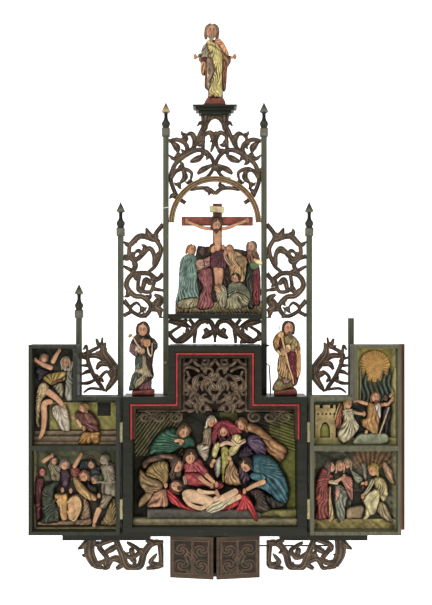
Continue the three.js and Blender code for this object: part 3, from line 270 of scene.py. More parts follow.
def carved_paint(name, rough):
    """The colour of every point, dulled by patches of dust and darkened in fine specks."""
    material, shader = new_material(name, rough)
    link = material.node_tree.links.new
    paint = node_of(material, "ShaderNodeAttribute", attribute_name="paint")
    place = node_of(material, "ShaderNodeTexCoord")
    patches = node_of(material, "ShaderNodeTexNoise", Scale=90.0, Detail=7.0, Roughness=0.65)
    link(place.outputs["Object"], patches.inputs["Vector"])
    tone = node_of(material, "ShaderNodeValToRGB")
    tone.color_ramp.elements[0].position = 0.3
    tone.color_ramp.elements[0].color = (0.5, 0.48, 0.45, 1)
    tone.color_ramp.elements[1].position = 0.68
    tone.color_ramp.elements[1].color = (1.12, 1.1, 1.05, 1)
    link(patches.outputs["Fac"], tone.inputs["Fac"])
    mix = node_of(material, "ShaderNodeMix", data_type="RGBA", blend_type="MULTIPLY")
    mix.inputs[0].default_value = 1.0
    link(paint.outputs["Color"], mix.inputs[6])
    link(tone.outputs["Color"], mix.inputs[7])
    muted = node_of(material, "ShaderNodeHueSaturation", Saturation=0.93)
    link(mix.outputs[2], muted.inputs["Color"])
    link(muted.outputs["Color"], shader.inputs["Base Color"])
    bump = node_of(material, "ShaderNodeBump", Strength=0.3, Distance=0.0008)
    link(patches.outputs["Fac"], bump.inputs["Height"])
    link(bump.outputs["Normal"], shader.inputs["Normal"])
    return material


carved_wood = carved_paint("carved and painted wood", 0.55)
mm = 0.001


def bounds_of(node):
    """The low and the high corner of a solid's box."""
    low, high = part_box(node)
    return np.array(low), np.array(high)


low, high = bounds_of("shrine_moulding")
case_low, case_high = bounds_of("shrine_case")
tracery_low, tracery_high = bounds_of("centre_tracery")
board_edge = case_high - high            # how far the moulding stays inside the case
shoulder = 321 * mm                      # of the case, above its foot
post_gap = 3 * mm                        # between the case's raised middle and the main post
band = high[2] - tracery_high[2] - 0.3 * mm
neck = bounds_of("right_main_post")[0][0] - post_gap - board_edge[0]
step = case_low[2] + shoulder - board_edge[2]
turns = np.array([
    [low[0], low[2]], [low[0], step], [-neck, step], [-neck, high[2]],
    [neck, high[2]], [neck, step], [high[0], step], [high[0], low[2]],
])
inward = np.array([[1, 0], [1, -1], [1, -1], [1, -1], [-1, -1], [-1, -1], [-1, -1], [-1, 0]], float)
bead = 0.4 * band
bead_turn = np.linspace(np.pi, 0, 9)
cove_turn = np.linspace(0, np.pi, 9)
across = np.concatenate([
    [0], bead / 2 + bead / 2 * np.cos(bead_turn), bead + (band - bead) / 2 * (1 - np.cos(cove_turn)), [band],
])
depth = high[1] - low[1]
bead_lift = 0.72 * depth + 0.28 * depth * np.sin(bead_turn)
cove_lift = 0.8 * depth - 0.5 * depth * np.sin(cove_turn)
lift = np.minimum(np.concatenate([[0], bead_lift, cove_lift, [0]]), depth)
place = turns[:, None, :] + inward[:, None, :] * across[None, :, None]
strip = np.stack([place[..., 0], np.broadcast_to(high[1] - lift, place.shape[:2]), place[..., 1]], -1)
red_paint, hollow_brown = rgb(190, 32, 36), rgb(88, 72, 56)
red_share = ((across < bead * 1.02) & (lift > 0.6 * depth))[:, None]
tint = np.where(red_share, red_paint, hollow_brown) * np.where(across < 0.06 * band, 0.3, 1.0)[:, None]
moulding = new_object("moulding", strip, grid_faces(8, len(across), True)[:, ::-1], carved_wood,
                      np.broadcast_to(tint, (8, *tint.shape)), smooth=False)
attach(moulding, "altar")
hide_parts("shrine_moulding")


# Pierced scroll boards: the tracery in the shrine, the frieze, four side panels, the crest and two brackets
# Leafy scrolls sawn from thin boards and carved, the backs left flat. Each scroll is a ridged strip
# carried along a curve; small leaves split off its outer side. Dark stain, rubbed through on the ridges;
# the ridges also carry painted highlights and the sides of each strip painted shade.

def smooth(points, count):
    """Points of a soft curve through the given ones, made of cubics steered by the points on both sides."""
    p = np.array(points, float)
    p = np.vstack([2 * p[0] - p[1], p, 2 * p[-1] - p[-2]])
    t = np.linspace(0, len(points) - 1, count)
    i = np.minimum(t.astype(int), len(points) - 2)
    f = (t - i).reshape(-1, *([1] * (p.ndim - 1)))
    a, b, c, d = p[i], p[i + 1], p[i + 2], p[i + 3]
    return 0.5 * (2 * b + (c - a) * f + (2 * a - 5 * b + 4 * c - d) * f**2 + (3 * b - a - 3 * c + d) * f**3)


def along(path):
    """Length along a path at each of its points."""
    return np.concatenate([[0], np.cumsum(np.linalg.norm(np.diff(path, axis=0), axis=1))])


# A scroll's colours: the dark stain, a middle tone and the pale colour of the painted highlights. Across its
# profile: the rise, and the painted light, low on the sides for painted shade, high on ridges.
scroll_dark, scroll_mid, scroll_highlight = rgb(48, 38, 31), rgb(108, 90, 73), rgb(188, 160, 116)
profile_across = np.array([-1, -0.95, -0.74, -0.5, -0.3, -0.12, 0, 0.12, 0.3, 0.5, 0.74, 0.95, 1, 0.9, -0.9])
profile_rise = np.array([0.25, 0.6, 0.78, 0.7, 0.74, 0.96, 1.0, 0.96, 0.74, 0.7, 0.78, 0.6, 0.25, 0, 0])
profile_light = np.array([0.1, 0.3, 0.62, 0.12, 0.2, 0.62, 0.8, 0.62, 0.2, 0.12, 0.62, 0.3, 0.1, 0.4, 0.4])


def scroll(path, widths, back, thick, seed, blunt=0.35):
    """One ridged strip along a path in x and z: the profile across it, scaled by the width at each point."""
    length = along(np.array(path, float))[-1]
    count = max(7, int(length / (2.4 * mm)))
    line = smooth(path, count)
    width = smooth(np.array(widths, float)[:, None], count)[:, 0] / 2
    s = along(line) / max(along(line)[-1], 1e-6)
    width = width * np.clip((1 - s) / 0.08, blunt, 1) ** 0.5
    way = np.gradient(line, axis=0)
    way /= np.linalg.norm(way, axis=1, keepdims=True) + 1e-9
    side = np.stack([way[:, 1], -way[:, 0]], -1)
    wave = np.random.default_rng(seed).uniform(0, 6)
    x = line[:, None, :] + side[:, None, :] * (profile_across * width[:, None])[..., None]
    height = thick * (0.84 + 0.16 * np.sin(s * 7 + wave))[:, None] * profile_rise
    points = np.stack([x[..., 0], back - height, x[..., 1]], -1)
    # Painted light across the strip: painted shade on its sides, painted highlights on its ridges.
    light = profile_light * (0.7 + 0.3 * np.sin(s * 9 + wave))[:, None]
    tint = scroll_dark + (scroll_mid - scroll_dark) * np.clip(2 * light, 0, 1)[..., None]
    tint = tint + (scroll_highlight - scroll_mid) * (np.clip(light - 0.55, 0, 1) * 1.1)[..., None]
    return points.reshape(-1, 3), grid_faces(count, 15, True)[:, ::-1], tint.reshape(-1, 3)


def leaf(start, way, size, hand, back, thick, seed):
    """A pointed leaf that leaves a scroll along its way and bends out to one side."""
    out = hand * np.array([way[1], -way[0]])
    steps = [(0, 0), (0.4, 0.12), (0.7, 0.45), (0.62, 0.95)]
    line = [start + size * (forth * way + aside * out) for forth, aside in steps]
    return scroll(line, np.array([0.5, 0.8, 0.6, 0.12]) * size, back, thick * 0.92, seed, 0.1)


def leaves(path, widths, back, thick, seed):
    """Leaves of a scroll: two at a thin tip, with a curled eye, and larger ones along a long stem."""
    line = smooth(path, 60)
    way = np.gradient(line, axis=0)
    way /= np.linalg.norm(way, axis=1, keepdims=True) + 1e-9
    length = along(line)[-1]
    grown = []
    if widths[-1] < 6.5 * mm:
        for hand in (-1, 1):
            grown.append(leaf(line[-3], way[-3], 13 * mm, hand, back, thick, seed + 1 + hand))
        curl = np.linspace(0, 1.6 * np.pi, 12)
        middle = line[-1] + 3 * mm * way[-1]
        ring = 3.4 * mm * (1 - 0.5 * curl / curl[-1])
        eye = middle + np.stack([np.cos(curl), np.sin(curl)], -1) * ring[:, None]
        grown.append(scroll(eye, [4 * mm] * 12, back, thick, seed))
    apart = 52 * mm
    for k in range(int(length / apart)):
        i = int(60 * (k + 0.55) / (length / apart) * 0.9) % 56
        hand = 1 if (k + seed) % 2 else -1
        grown.append(leaf(line[i], way[i], 19 * mm, hand, back, thick, seed + k))
    return grown


def joined(parts):
    """Several meshes as one: points, quads and colours."""
    shift = np.cumsum([0] + [len(points) for points, _, _ in parts[:-1]])
    return (
        np.concatenate([points for points, _, _ in parts]),
        np.concatenate([faces + move for (_, faces, _), move in zip(parts, shift)]),
        np.concatenate([tint for _, _, tint in parts]),
    )


def pierced(node, patterns, hand="both", extra=(), spread=None, swell=1.35, wear_and_highlight=1.3):
    """A pierced board in the room of its solid, from paths in hundredths of its width and height."""
    low, high = spread if spread is not None else bounds_of(node)
    size = high - low
    middle = (low[0] + high[0]) / 2
    starts = {"both": [(middle, 1), (middle, -1)], "left": [(low[0], 1)], "right": [(high[0], -1)]}[hand]
    parts = []
    for start, way in starts:
        for number, (path, wide) in enumerate(patterns):
            share = np.array(path, float) / 100
            line = np.stack([start + way * share[:, 0] * size[0], low[2] + share[:, 1] * size[2]], -1)
            widths = np.array(wide, float) * swell * mm
            parts.append(scroll(line, widths, high[1], size[1], number))
            parts += leaves(line, widths, high[1], size[1], number)
    points, faces, tint = joined(parts)
    points[:, 0] = np.clip(points[:, 0], low[0], high[0])
    points[:, 2] = np.clip(points[:, 2], low[2], high[2])
    points, faces, tint = joined([(points, faces, tint), *extra])
    # More contrast between the dark sides and the light ridges: deeper painted shade, brighter painted
    # highlights.
    tint = scroll_dark / wear_and_highlight + (tint - scroll_dark) * wear_and_highlight
    piece = new_object(node + "_carved", points, faces, carved_wood, tint)
    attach(piece, "altar")
    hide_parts(node)
    return piece


crest_scrolls = [
    ([(-32, 18), (-41, 24.5), (-47.5, 38), (-46.5, 48), (-40, 57.5), (-22.5, 67), (-11, 66.5),
      (-3, 59.5), (-1.6, 51.5), (-8, 43), (-17, 41)], [7.5, 8.3, 5.7]),
    ([(-31, 63), (-22, 72), (-15.5, 84), (-12.6, 90), (-15.5, 93.5), (-19, 90.5)], [7.5, 7.9, 5]),
    ([(-47.5, 41), (-42, 48), (-33.5, 50), (-25.5, 46.5), (-26.5, 39)], [6.6, 7.5, 4.4]),
    ([(-35, 49.5), (-32.5, 42.5), (-38, 36.5)], [5.7, 11, 4.4]),
    ([(-50, 76), (-41, 77.5), (-32.5, 74), (-30, 67.5), (-35, 61), (-44, 59.5), (-50, 63)], [7, 8.8, 5.9]),
    ([(-47, 75), (-41.5, 70.5), (-40, 65)], [5, 13.2, 3.9]),
    ([(-23.5, 70.5), (-22, 77.5), (-25.5, 83), (-31.5, 82)], [5.9, 10.1, 3.9]),
    ([(-12, 88), (-13.5, 62)], [7, 7, 7]),
    ([(-12.5, 63), (-19, 59.5), (-27, 56.5)], [5, 12.1, 5]),
    ([(-13, 81), (-5.5, 84), (-1, 76.6), (-4.4, 66)], [5.9, 9, 5]),
    ([(-19, 45.5), (-13, 49.5), (-2.5, 54)], [5, 11, 5]),
    ([(-10, 100), (-11, 86)], [18, 12.9, 9]),
    ([(-10, 91), (-5.5, 97), (0, 99.5)], [7, 7.9, 9]),
]
side_scrolls = [
    ([(100, 98.7), (80, 86), (94, 72), (80, 55), (56.8, 47)], [7, 7, 5]),
    ([(56.8, 94.5), (66, 86), (80, 82)], [3, 12, 9]),
    ([(80, 82), (42, 86), (15.8, 77), (0, 80)], [8, 9, 5]),
    ([(16, 79), (15, 67), (34, 62), (63, 73), (77, 66), (76, 52)], [6, 8, 6]),
    ([(47, 66), (38, 71), (27, 68)], [7, 6, 4]),
    ([(0, 65), (20, 62), (31, 55), (18, 46)], [7, 7, 7]),
    ([(0, 54.5), (22, 49.5)], [4, 6, 6]),
    ([(100, 46.8), (84.9, 41), (60, 47), (20, 45), (7.5, 34), (26.6, 23.8), (50.3, 21.8), (69, 12),
      (50, 1.8), (17, 9), (33, 16), (50, 8)], [7, 8, 4]),
    ([(40, 46), (38, 31), (68, 28), (80, 42)], [6, 6, 6]),
    ([(47, 29), (56, 40), (70, 35)], [6, 9, 7]),
    ([(70, 31), (100, 29)], [7, 6, 4]),
    ([(78, 25), (92, 20), (82, 12), (100, 7.5)], [4, 14, 6]),
    ([(68, 9), (88, 9), (93.5, 1)], [6, 10, 4]),
    ([(0, 18.5), (18, 10)], [8, 7, 6]),
    ([(0, 2.5), (20, 7)], [6, 6, 6]),
]
cheek_scrolls = [
    ([(57.4, 99), (50, 84), (16, 68), (30, 35), (63.4, 3)], [4, 9, 9]),
    ([(39.6, 97), (47, 83)], [4, 8, 6]),
    ([(4, 77), (11.9, 84), (16, 66)], [4, 6, 6]),
    ([(65, 90), (62, 70), (93, 36), (66, 2.5)], [4, 20, 9]),
    ([(90, 34.6), (100, 34.6)], [9, 6, 4]),
    ([(18, 66), (45.5, 66), (68, 55)], [9, 13, 9]),
    ([(40, 42), (52, 52), (74, 50)], [6, 13, 8]),
    ([(76, 9), (83, 24), (70, 38), (52, 28), (60, 19)], [7, 7, 8]),
    ([(0, 63), (19, 60)], [5, 6, 6]),
    ([(0, 49), (26, 49)], [4, 8, 6]),
    ([(0, 33), (15, 38), (30, 37)], [4, 9, 6]),
    ([(0, 17), (18, 18), (38, 24)], [6, 8, 6]),
    ([(5, 1), (24, 8), (62, 6)], [4, 6, 6]),
]
frieze_scrolls = [
    ([(-50, 91), (-38, 84), (-26, 66)], [8, 14, 4]),
    ([(-36, 74), (-48.3, 40), (-40, 8), (-29, 30), (-16, 88), (-5, 87), (-1, 50), (0.5, 6)], [5, 11, 6]),
    ([(-40, 14), (-31, 45)], [9, 6, 3]),
    ([(-28, 99), (-20, 62)], [7, 7, 6]),
    ([(-22.4, 2), (-22, 30), (-20, 60)], [5, 7, 5]),
    ([(-14.2, 22), (-2, 50)], [5, 12, 9]),
    ([(-11, 62), (-7, 38)], [7, 11, 10]),
]
tracery_scrolls = [
    ([(0, 100), (6.2, 88.8), (13.1, 82.7)], [7, 7, 6]),
    ([(9.3, 99), (12.4, 89.8), (19.3, 91.8), (17.8, 96.9)], [6, 6, 5]),
    ([(13.1, 76.5), (19.3, 85.7), (27, 88.8), (31.7, 94.9), (34, 100)], [6, 7, 7]),
    ([(16.2, 84.2), (6.2, 81.6), (3.5, 73.5), (9.3, 64.3), (16.2, 60.2), (20.1, 51),
      (19.3, 40.8)], [6, 7, 7]),
    ([(16.2, 58.2), (10, 63.8), (5, 56.1), (6.2, 45.9), (8.1, 37.8), (3.1, 31.6)], [6, 7, 6]),
    ([(8.5, 52), (9.3, 41.8), (14.3, 44.9), (13.9, 51)], [5, 6, 5]),
    ([(15.4, 64.3), (20.8, 70.4), (28.6, 65.3), (31.7, 58.2), (33.2, 45.9), (28.6, 35.7),
      (22.4, 25.5)], [6, 7, 6]),
    ([(23.9, 51), (28.6, 54.1), (31.3, 45.9), (26.3, 43.9), (27, 49)], [6, 5, 5]),
    ([(43.2, 77.6), (40.2, 65.3), (46.3, 56.1), (47.9, 48), (42.5, 40.8), (34.7, 38.8)], [6, 7, 6]),
    ([(37.8, 67.3), (44, 58.2), (41.7, 51)], [6, 7, 5]),
    ([(50.2, 89.8), (41.7, 91.3), (36.3, 98)], [6, 7, 6]),
    ([(23.9, 76.5), (32.4, 82.7), (42.5, 84.7), (47.9, 79.6)], [6, 7, 5]),
    ([(22.4, 24.5), (24.7, 32.7), (32.4, 36.7), (37.8, 31.6), (38.6, 24.5)], [6, 7, 6]),
    ([(27, 19.4), (30.1, 28.6), (36.3, 22.4), (31.7, 16.3)], [5, 6, 5]),
    ([(1.5, 19.4), (10, 21.4), (14.7, 25.5), (23.2, 20.4), (28.6, 11.2), (27, 0)], [6, 7, 7]),
    ([(13.9, 13.3), (20.8, 15.3), (23.6, 7.1), (18.5, 2), (13.9, 6.1)], [5, 6, 5]),
    ([(36.3, 11.2), (44.8, 19.4), (50.2, 14.3)], [6, 7, 6]),
    ([(31.7, 5.1), (40.2, 3.6), (50.2, 9.2)], [6, 7, 6]),
    ([(13.1, 34.7), (18.5, 32.7), (20.5, 25.5)], [5, 6, 5]),
    ([(50.2, 36.7), (43.2, 33.7), (40.2, 40.8)], [5, 6, 5]),
]
bracket_scrolls = [
    ([(0, 68), (6.6, 79), (14, 100)], [3, 9, 10]),
    ([(14, 100), (13.5, 54), (21, 10)], [16, 16, 12]),
    ([(19, 14), (30, 5)], [8, 8, 4]),
    ([(41, 100), (25, 78), (34, 35), (20, 18)], [8, 8, 7]),
    ([(44, 100), (50.8, 54), (58, 10), (72, 12), (77.3, 54), (86, 84), (100, 92)], [9, 11, 9]),
    ([(50.8, 58), (62, 40), (71.5, 62), (57, 90)], [6, 7, 6]),
    ([(64, 42), (62, 72)], [6, 9, 7]),
    ([(34, 4), (41, 36), (54, 22)], [6, 9, 8]),
    ([(45, 3), (54, 20)], [6, 8, 8]),
    ([(33, 58), (47, 80)], [8, 10, 7]),
    ([(96, 88), (97, 20), (85, 24), (92, 52)], [9, 9, 5]),
    ([(80, 4), (98, 15)], [5, 9, 9]),
    ([(80, 100), (90, 84)], [8, 9, 8]),
]


def ring_sweep(path, around, colour):
    """A closed section carried along a path: path rows (x, z), section rows (aside, depth)."""
    way = np.gradient(path, axis=0)
    way /= np.linalg.norm(way, axis=1, keepdims=True) + 1e-9
    side = np.stack([way[:, 1], -way[:, 0]], -1)
    x = path[:, None, :] + side[:, None, :] * around[None, :, :1]
    points = np.stack([x[..., 0], np.broadcast_to(around[None, :, 1], x.shape[:2]), x[..., 1]], -1)
    faces = grid_faces(len(path), len(around), True)[:, ::-1]
    return points.reshape(-1, 3), faces, np.tile(colour, (len(path), 1))


low, high = bounds_of("crest_scrollwork")
arch_wide, arch_thick = 13 * mm, high[1] - low[1]
arch_radius = (high[0] - low[0]) / 2 - arch_wide / 2
arch_turn = np.linspace(0, np.pi, 61)
arch_path = np.stack([
    (low[0] + high[0]) / 2 + arch_radius * np.cos(arch_turn), low[2] + arch_radius * np.sin(arch_turn),
], -1)
arch_out = np.array([-1, -1, -0.8, -0.6, -0.25, -0.1, 0.1, 0.25, 0.6, 0.8, 1, 1]) * arch_wide / 2
arch_rise = np.array([0, 0.55, 0.95, 0.7, 0.55, 0.85, 0.85, 0.55, 0.7, 1.0, 0.6, 0]) * arch_thick
# Painted light across the arch: painted highlights on its beads, painted shade in its grooves and on its
# sides.
arch_tint = np.array([0.1, 0.3, 1.0, 0.5, 0.1, 0.8, 0.8, 0.1, 0.5, 1.0, 0.4, 0.1])[:, None]
arch_tint = scroll_dark + (rgb(176, 142, 98) - scroll_dark) * arch_tint
arch = ring_sweep(arch_path, np.stack([arch_out, high[1] - arch_rise], -1), arch_tint)
cusp = [([(-27, 31), (-14, 32.2), (-6, 31), (0, 26.5)], [7, 7, 9])]
pierced("crest_scrollwork", crest_scrolls + cusp, extra=[arch])

half, rim, corner = 75.2 * mm, 5 * mm, 128.7 * mm    # of the raised middle: half width, frame, foot
panel_foot, panel_top = 120.8 * mm, 246.7 * mm
back, thick = tracery_high[1], tracery_high[1] - tracery_low[1]
rims = []
for hand in (-1, 1):
    upright = [(hand * (half - rim / 2), corner - rim), (hand * (half - rim / 2), tracery_high[2])]
    level = [(hand * (half - rim), corner - rim / 2), (hand * tracery_high[0], corner - rim / 2)]
    rims.append(scroll(upright, [rim, rim], back, thick, 1, 1))
    rims.append(scroll(level, [rim, rim], back, thick, 2, 1))
    for number in range(3):
        turn = np.linspace(0, 2.6 * np.pi, 40)
        reach = (13.5 - 9.5 * turn / turn[-1]) * mm
        middle = [hand * (half + (tracery_high[0] - half) * (number + 0.5) / 3), corner - 17 * mm]
        round_about = np.stack([hand * (-1) ** number * np.cos(turn + 1.6), np.sin(turn + 1.6)], -1)
        curl = np.array(middle) + round_about * reach[:, None] * [1.25, 1]
        rims.append(scroll(curl, [5.5 * mm] * 40, back, thick, number, 1))
pierced("centre_tracery", tracery_scrolls, extra=rims, swell=1.0, wear_and_highlight=2.1,
        spread=(np.array([-half, tracery_low[1], panel_foot]), np.array([half, back, panel_top])))
pierced("scroll_frieze", frieze_scrolls)
for side in ["left", "right"]:
    pierced(f"{side}_scroll_panel", side_scrolls, side, swell=1.62)
    pierced(f"{side}_outer_scroll", cheek_scrolls, side, swell=1.15)
    pierced(f"{side}_bottom_bracket", bracket_scrolls, side, swell=1.6)


# Finials of the posts
# Turned and cut pinnacles glued on the posts' tops: a square block, a round collar, a neck and a
# pointed bud. The upper left one is rubbed to its pale gilt ground; the right outer post has lost its own.

finial_profile = np.array([
    [0, 0.9], [0.01, 0.94], [0.11, 0.94], [0.22, 0.94], [0.24, 0.78], [0.27, 0.74], [0.3, 0.84], [0.34, 0.96],
    [0.4, 0.94], [0.46, 0.62], [0.53, 0.44], [0.62, 0.42], [0.68, 0.5], [0.705, 0.92], [0.74, 0.98],
    [0.84, 0.6], [0.93, 0.26], [1, 0.03],
])
for name in ["left_main", "left_middle", "left_outer", "right_main", "right_middle"]:
    low, high = bounds_of(name + "_finial")
    fine = np.clip(smooth(finial_profile, 69), 0, 1)
    turn = np.linspace(0, 2 * np.pi, 32, endpoint=False)
    square = 0.86 / np.maximum(np.abs(np.cos(turn)), np.abs(np.sin(turn)))
    share = np.clip((0.25 - fine[:, :1]) / 0.02, 0, 1) + 0.55 * np.clip((fine[:, :1] - 0.66) / 0.03, 0, 1)
    reach = fine[:, 1:] * (high[0] - low[0]) / 2 * (share * square + (1 - share) * 0.9)
    middle = (low + high) / 2
    points = np.stack([
        middle[0] + reach * np.cos(turn), middle[1] + reach * np.sin(turn),
        np.broadcast_to(low[2] + fine[:, :1] * (high[2] - low[2]), reach.shape),
    ], -1)
    pale = (fine[:, :1] < 0.22) * 0.9 + (fine[:, :1] > 0.69) * 0.8 + 0.35
    # Narrower parts are darker: painted shade in the neck between the collar and the bud.
    dark = np.clip(1.3 * (fine[:, 1:] - 0.35), 0.2, 1)
    bud = (fine[:, :1] > 0.66) & (name == "left_main")
    finial_tint = np.where(bud, rgb(206, 176, 120), rgb(112, 112, 98)) * pale * dark
    finial = new_object(name + "_finial_turned", points, grid_faces(69, 32, True), carved_wood,
                        np.broadcast_to(finial_tint[:, None, :], points.shape))
    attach(finial, "altar")
    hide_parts(name + "_finial")


# Carved scene in the shrine
# A high relief in lime wood, painted: mourners around a dead figure laid over a red cloth on two steps.
# Each fold of cloth, limb, hand and head is carved nearly in the round in front of a rocky ground.

def tube(path, radii, colour, folds=0, cut=0.0, sides=None):
    """A limb or a length of cloth: points in mm, a radius at each, folds cut along it to a share cut.

    A section, flattened to three quarters from front to back, is carried along the soft curve through the
    points; its ends close like a ball.
    """
    path = np.array(path, float)
    length = along(path)[-1]
    rings = int(np.clip(length / 1.7, 7, 48))
    sides = sides or (6 * folds + 6 if folds else 16)
    fine = smooth(np.column_stack([path, radii]), 4 * rings)
    reach = along(fine[:, :3])
    turn = np.linspace(0, np.pi, rings)
    at = (0.5 - 0.5 * np.cos(turn)) * reach[-1]
    line = np.stack([np.interp(at, reach, fine[:, k]) for k in range(4)], -1)
    radius = np.maximum(line[:, 3], 0.3)
    end = np.minimum(at, reach[-1] - at) / (0.8 * radius)
    radius = radius * np.sqrt(np.clip(1 - (1 - np.clip(end, 0, 1)) ** 2, 0.0004, 1))
    way = np.gradient(line[:, :3], axis=0)
    way /= np.linalg.norm(way, axis=1, keepdims=True) + 1e-9
    out = np.array([0, -1.0, 0]) + 0.02 * np.array([1, 0, 1])
    deep = out - way * (way @ out)[:, None]
    deep /= np.linalg.norm(deep, axis=1, keepdims=True) + 1e-9
    side = np.cross(way, deep)
    angle = np.linspace(0, 2 * np.pi, sides, endpoint=False)
    wave = folds * angle[None, :] + 0.6 * len(path)
    wave = wave + 0.9 * np.sin(3.1 * at / np.maximum(radius, 2.0) * 0.35 + len(path))[:, None]
    crease = np.abs(np.cos(wave / 2)) if folds else np.ones((rings, sides))
    wide = radius[:, None] * (1 - cut * (1 - crease**0.6))
    points = (
        line[:, None, :3] + side[:, None, :] * (np.cos(angle) * wide)[..., None]
        + deep[:, None, :] * (np.sin(angle) * wide * 0.75)[..., None]
    )
    # Painted shade: the valleys between folds are dark and their ridges light, and the sides turned away from
    # the front are darkened.
    tone = 0.16 + 1.12 * crease**1.5 if folds else np.ones((rings, sides))
    tone = tone * (0.3 + 0.7 * np.clip(1.15 * np.sin(angle) + 0.25, 0, 1))[None, :]
    return points.reshape(-1, 3) * mm, grid_faces(rings, sides, True), tone.reshape(-1, 1) * colour


def turned(points, yaw, pitch, roll):
    """Points turned about z, then x, then y, in degrees."""
    a, b, c = np.radians([yaw, pitch, roll])
    turn_z = np.array([[np.cos(a), -np.sin(a), 0], [np.sin(a), np.cos(a), 0], [0, 0, 1]])
    turn_x = np.array([[1, 0, 0], [0, np.cos(b), -np.sin(b)], [0, np.sin(b), np.cos(b)]])
    turn_y = np.array([[np.cos(c), 0, np.sin(c)], [0, 1, 0], [-np.sin(c), 0, np.cos(c)]])
    return points @ (turn_y @ turn_x @ turn_z).T


def ball(at, radii, colour, rows=14, sides=18, yaw=0, pitch=0, roll=0, ridges=0, cut=0.0, shape=None):
    """A ball or egg in mm, with lengthwise ridges, or pushed in and out by shape."""
    up = np.linspace(0.02, np.pi - 0.02, rows)[:, None]
    turn = np.linspace(0, 2 * np.pi, sides, endpoint=False)[None, :]
    directions = np.sin(up) * np.cos(turn), np.sin(up) * np.sin(turn), np.cos(up)
    way = np.stack(np.broadcast_arrays(*directions), -1)
    if shape:
        push, tint = shape(way, np.array(colour))
    else:
        # Painted shade in the grooves between the ridges, lighter on the ridges.
        crease = np.abs(np.cos(ridges * turn / 2 + 2.0 * up)) if ridges else np.ones((rows, sides))
        push, tint = 1 - cut * (1 - crease), colour * (0.3 + 0.9 * crease**1.5)[..., None]
    points = turned((way * push[..., None] * np.array(radii)).reshape(-1, 3), yaw, pitch, roll) + np.array(at)
    return points * mm, grid_faces(rows, sides, True), np.broadcast_to(tint, way.shape).reshape(-1, 3)


def near(way, place, width):
    """How close a direction is to a place on a ball, from 0 to 1."""
    return np.exp(-np.sum((way - np.array(place)) ** 2, -1) / width**2)


def calm_face(way, skin):
    """The plain face that all the carved figures share: brow, nose, closed mouth, chin."""
    push = np.ones(way.shape[:2])
    push = push + 0.16 * near(way, (0, -0.98, -0.1), 0.2) + 0.1 * near(way, (0, -0.95, 0.12), 0.16)
    push = push - 0.09 * (near(way, (0.34, -0.9, 0.12), 0.2) + near(way, (-0.34, -0.9, 0.12), 0.2))
    push = push + 0.05 * near(way, (0, -0.9, 0.4), 0.35) + 0.07 * near(way, (0, -0.75, -0.68), 0.24)
    push = push + 0.05 * near(way, (0, -0.9, -0.42), 0.14)
    # Painted shade in the eye sockets and beside the nose, darker brows, a painted highlight on the nose and
    # forehead; the lips and cheeks redder.
    eyes = near(way, (0.33, -0.92, 0.12), 0.19) + near(way, (-0.33, -0.92, 0.12), 0.19)
    brows = near(way, (0.36, -0.86, 0.36), 0.17) + near(way, (-0.36, -0.86, 0.36), 0.17)
    mouth = near(way, (0, -0.9, -0.44), 0.15)
    sides = near(way, (0.2, -0.95, -0.12), 0.1) + near(way, (-0.2, -0.95, -0.12), 0.1)
    cheeks = near(way, (0.5, -0.8, -0.2), 0.25) + near(way, (-0.5, -0.8, -0.2), 0.25)
    bright = near(way, (0, -0.98, 0.0), 0.16) + near(way, (0, -0.85, 0.5), 0.3)
    dark = np.clip(0.9 * eyes + 0.5 * brows + 0.4 * sides, 0, 0.9)[..., None]
    tint = skin * (1 - dark) * (1 + 0.25 * bright[..., None])
    tint = tint * (1 - 0.6 * mouth[..., None] * np.array([0.35, 1, 1]))
    return push, tint * (1 - 0.3 * cheeks[..., None] * np.array([0, 0.9, 0.8]))


skin_light = rgb(206, 150, 112)
hood_side = [(0.45, -0.35, 1.0), (0.86, -0.3, 0.2), (0.8, -0.1, -0.9), (0.9, 0.1, -1.5)]
hair_side = [(0.15, -0.5, 1.0), (0.7, -0.25, 0.55), (0.82, 0.05, -0.3), (0.75, 0.2, -1.1)]


def head(at, size, hair, yaw=0, pitch=0, roll=0, skin=skin_light, hood=None, beard=None):
    """A head of the given height in mm, turned to a side and bent, with hair or a hood, maybe a beard."""
    half = size / 2
    at = np.array(at, float)
    parts = [ball(at, (0.74 * half, 0.86 * half, half), skin, 20, 24, yaw, pitch, roll, shape=calm_face)]

    def placed(offset):
        return at + turned(np.array([offset], float) * half, yaw, pitch, roll)[0]

    cover = hair if hood is None else hood
    cap = np.array([0.9, 0.92, 1.0]) * half
    parts.append(ball(placed((0, 0.28, 0.2)), cap, cover, 14, 40, yaw, pitch, roll, 11, 0.16))
    for hand in (-1, 1):
        if hood is None:
            fall, radii, cuts = hair_side, [0.2, 0.28, 0.3, 0.22], (5, 0.4, 12)
        else:
            fall, radii, cuts = hood_side, [0.2, 0.24, 0.3, 0.3], (3, 0.3, 10)
        line = [placed((x * hand, y, z)) for x, y, z in fall]
        parts.append(tube(line, np.array(radii) * half, cover, *cuts))
    if beard is not None:
        parts.append(tube([placed((0, -0.62, -0.45)), placed((0, -0.74, -1.0)), placed((0, -0.6, -1.6))],
                          np.array([0.36, 0.4, 0.14]) * half, beard, 6, 0.4, sides=14))
    return parts


def hand_at(at, size):
    """A closed hand, its fingers grooved."""
    return ball(at, np.array([0.42, 0.4, 0.62]) * size, skin_light, 9, 14, ridges=5, cut=0.2)


def lumps(u, v, fine, seed):
    """Rough carved rock: soft random waves, from -1 to 1."""
    shift = np.random.default_rng(seed).uniform(0, 6, 12)
    total = 0
    for k in range(4):
        f = fine * 1.7**k
        crossed = np.sin(f * u + shift[k]) * np.cos(f * 1.2 * v + shift[k + 4])
        slanting = np.sin(f * 0.7 * (u + v) + shift[k + 8])
        total = total + (crossed + slanting) / (2 * 1.5**k)
    return np.tanh(total)


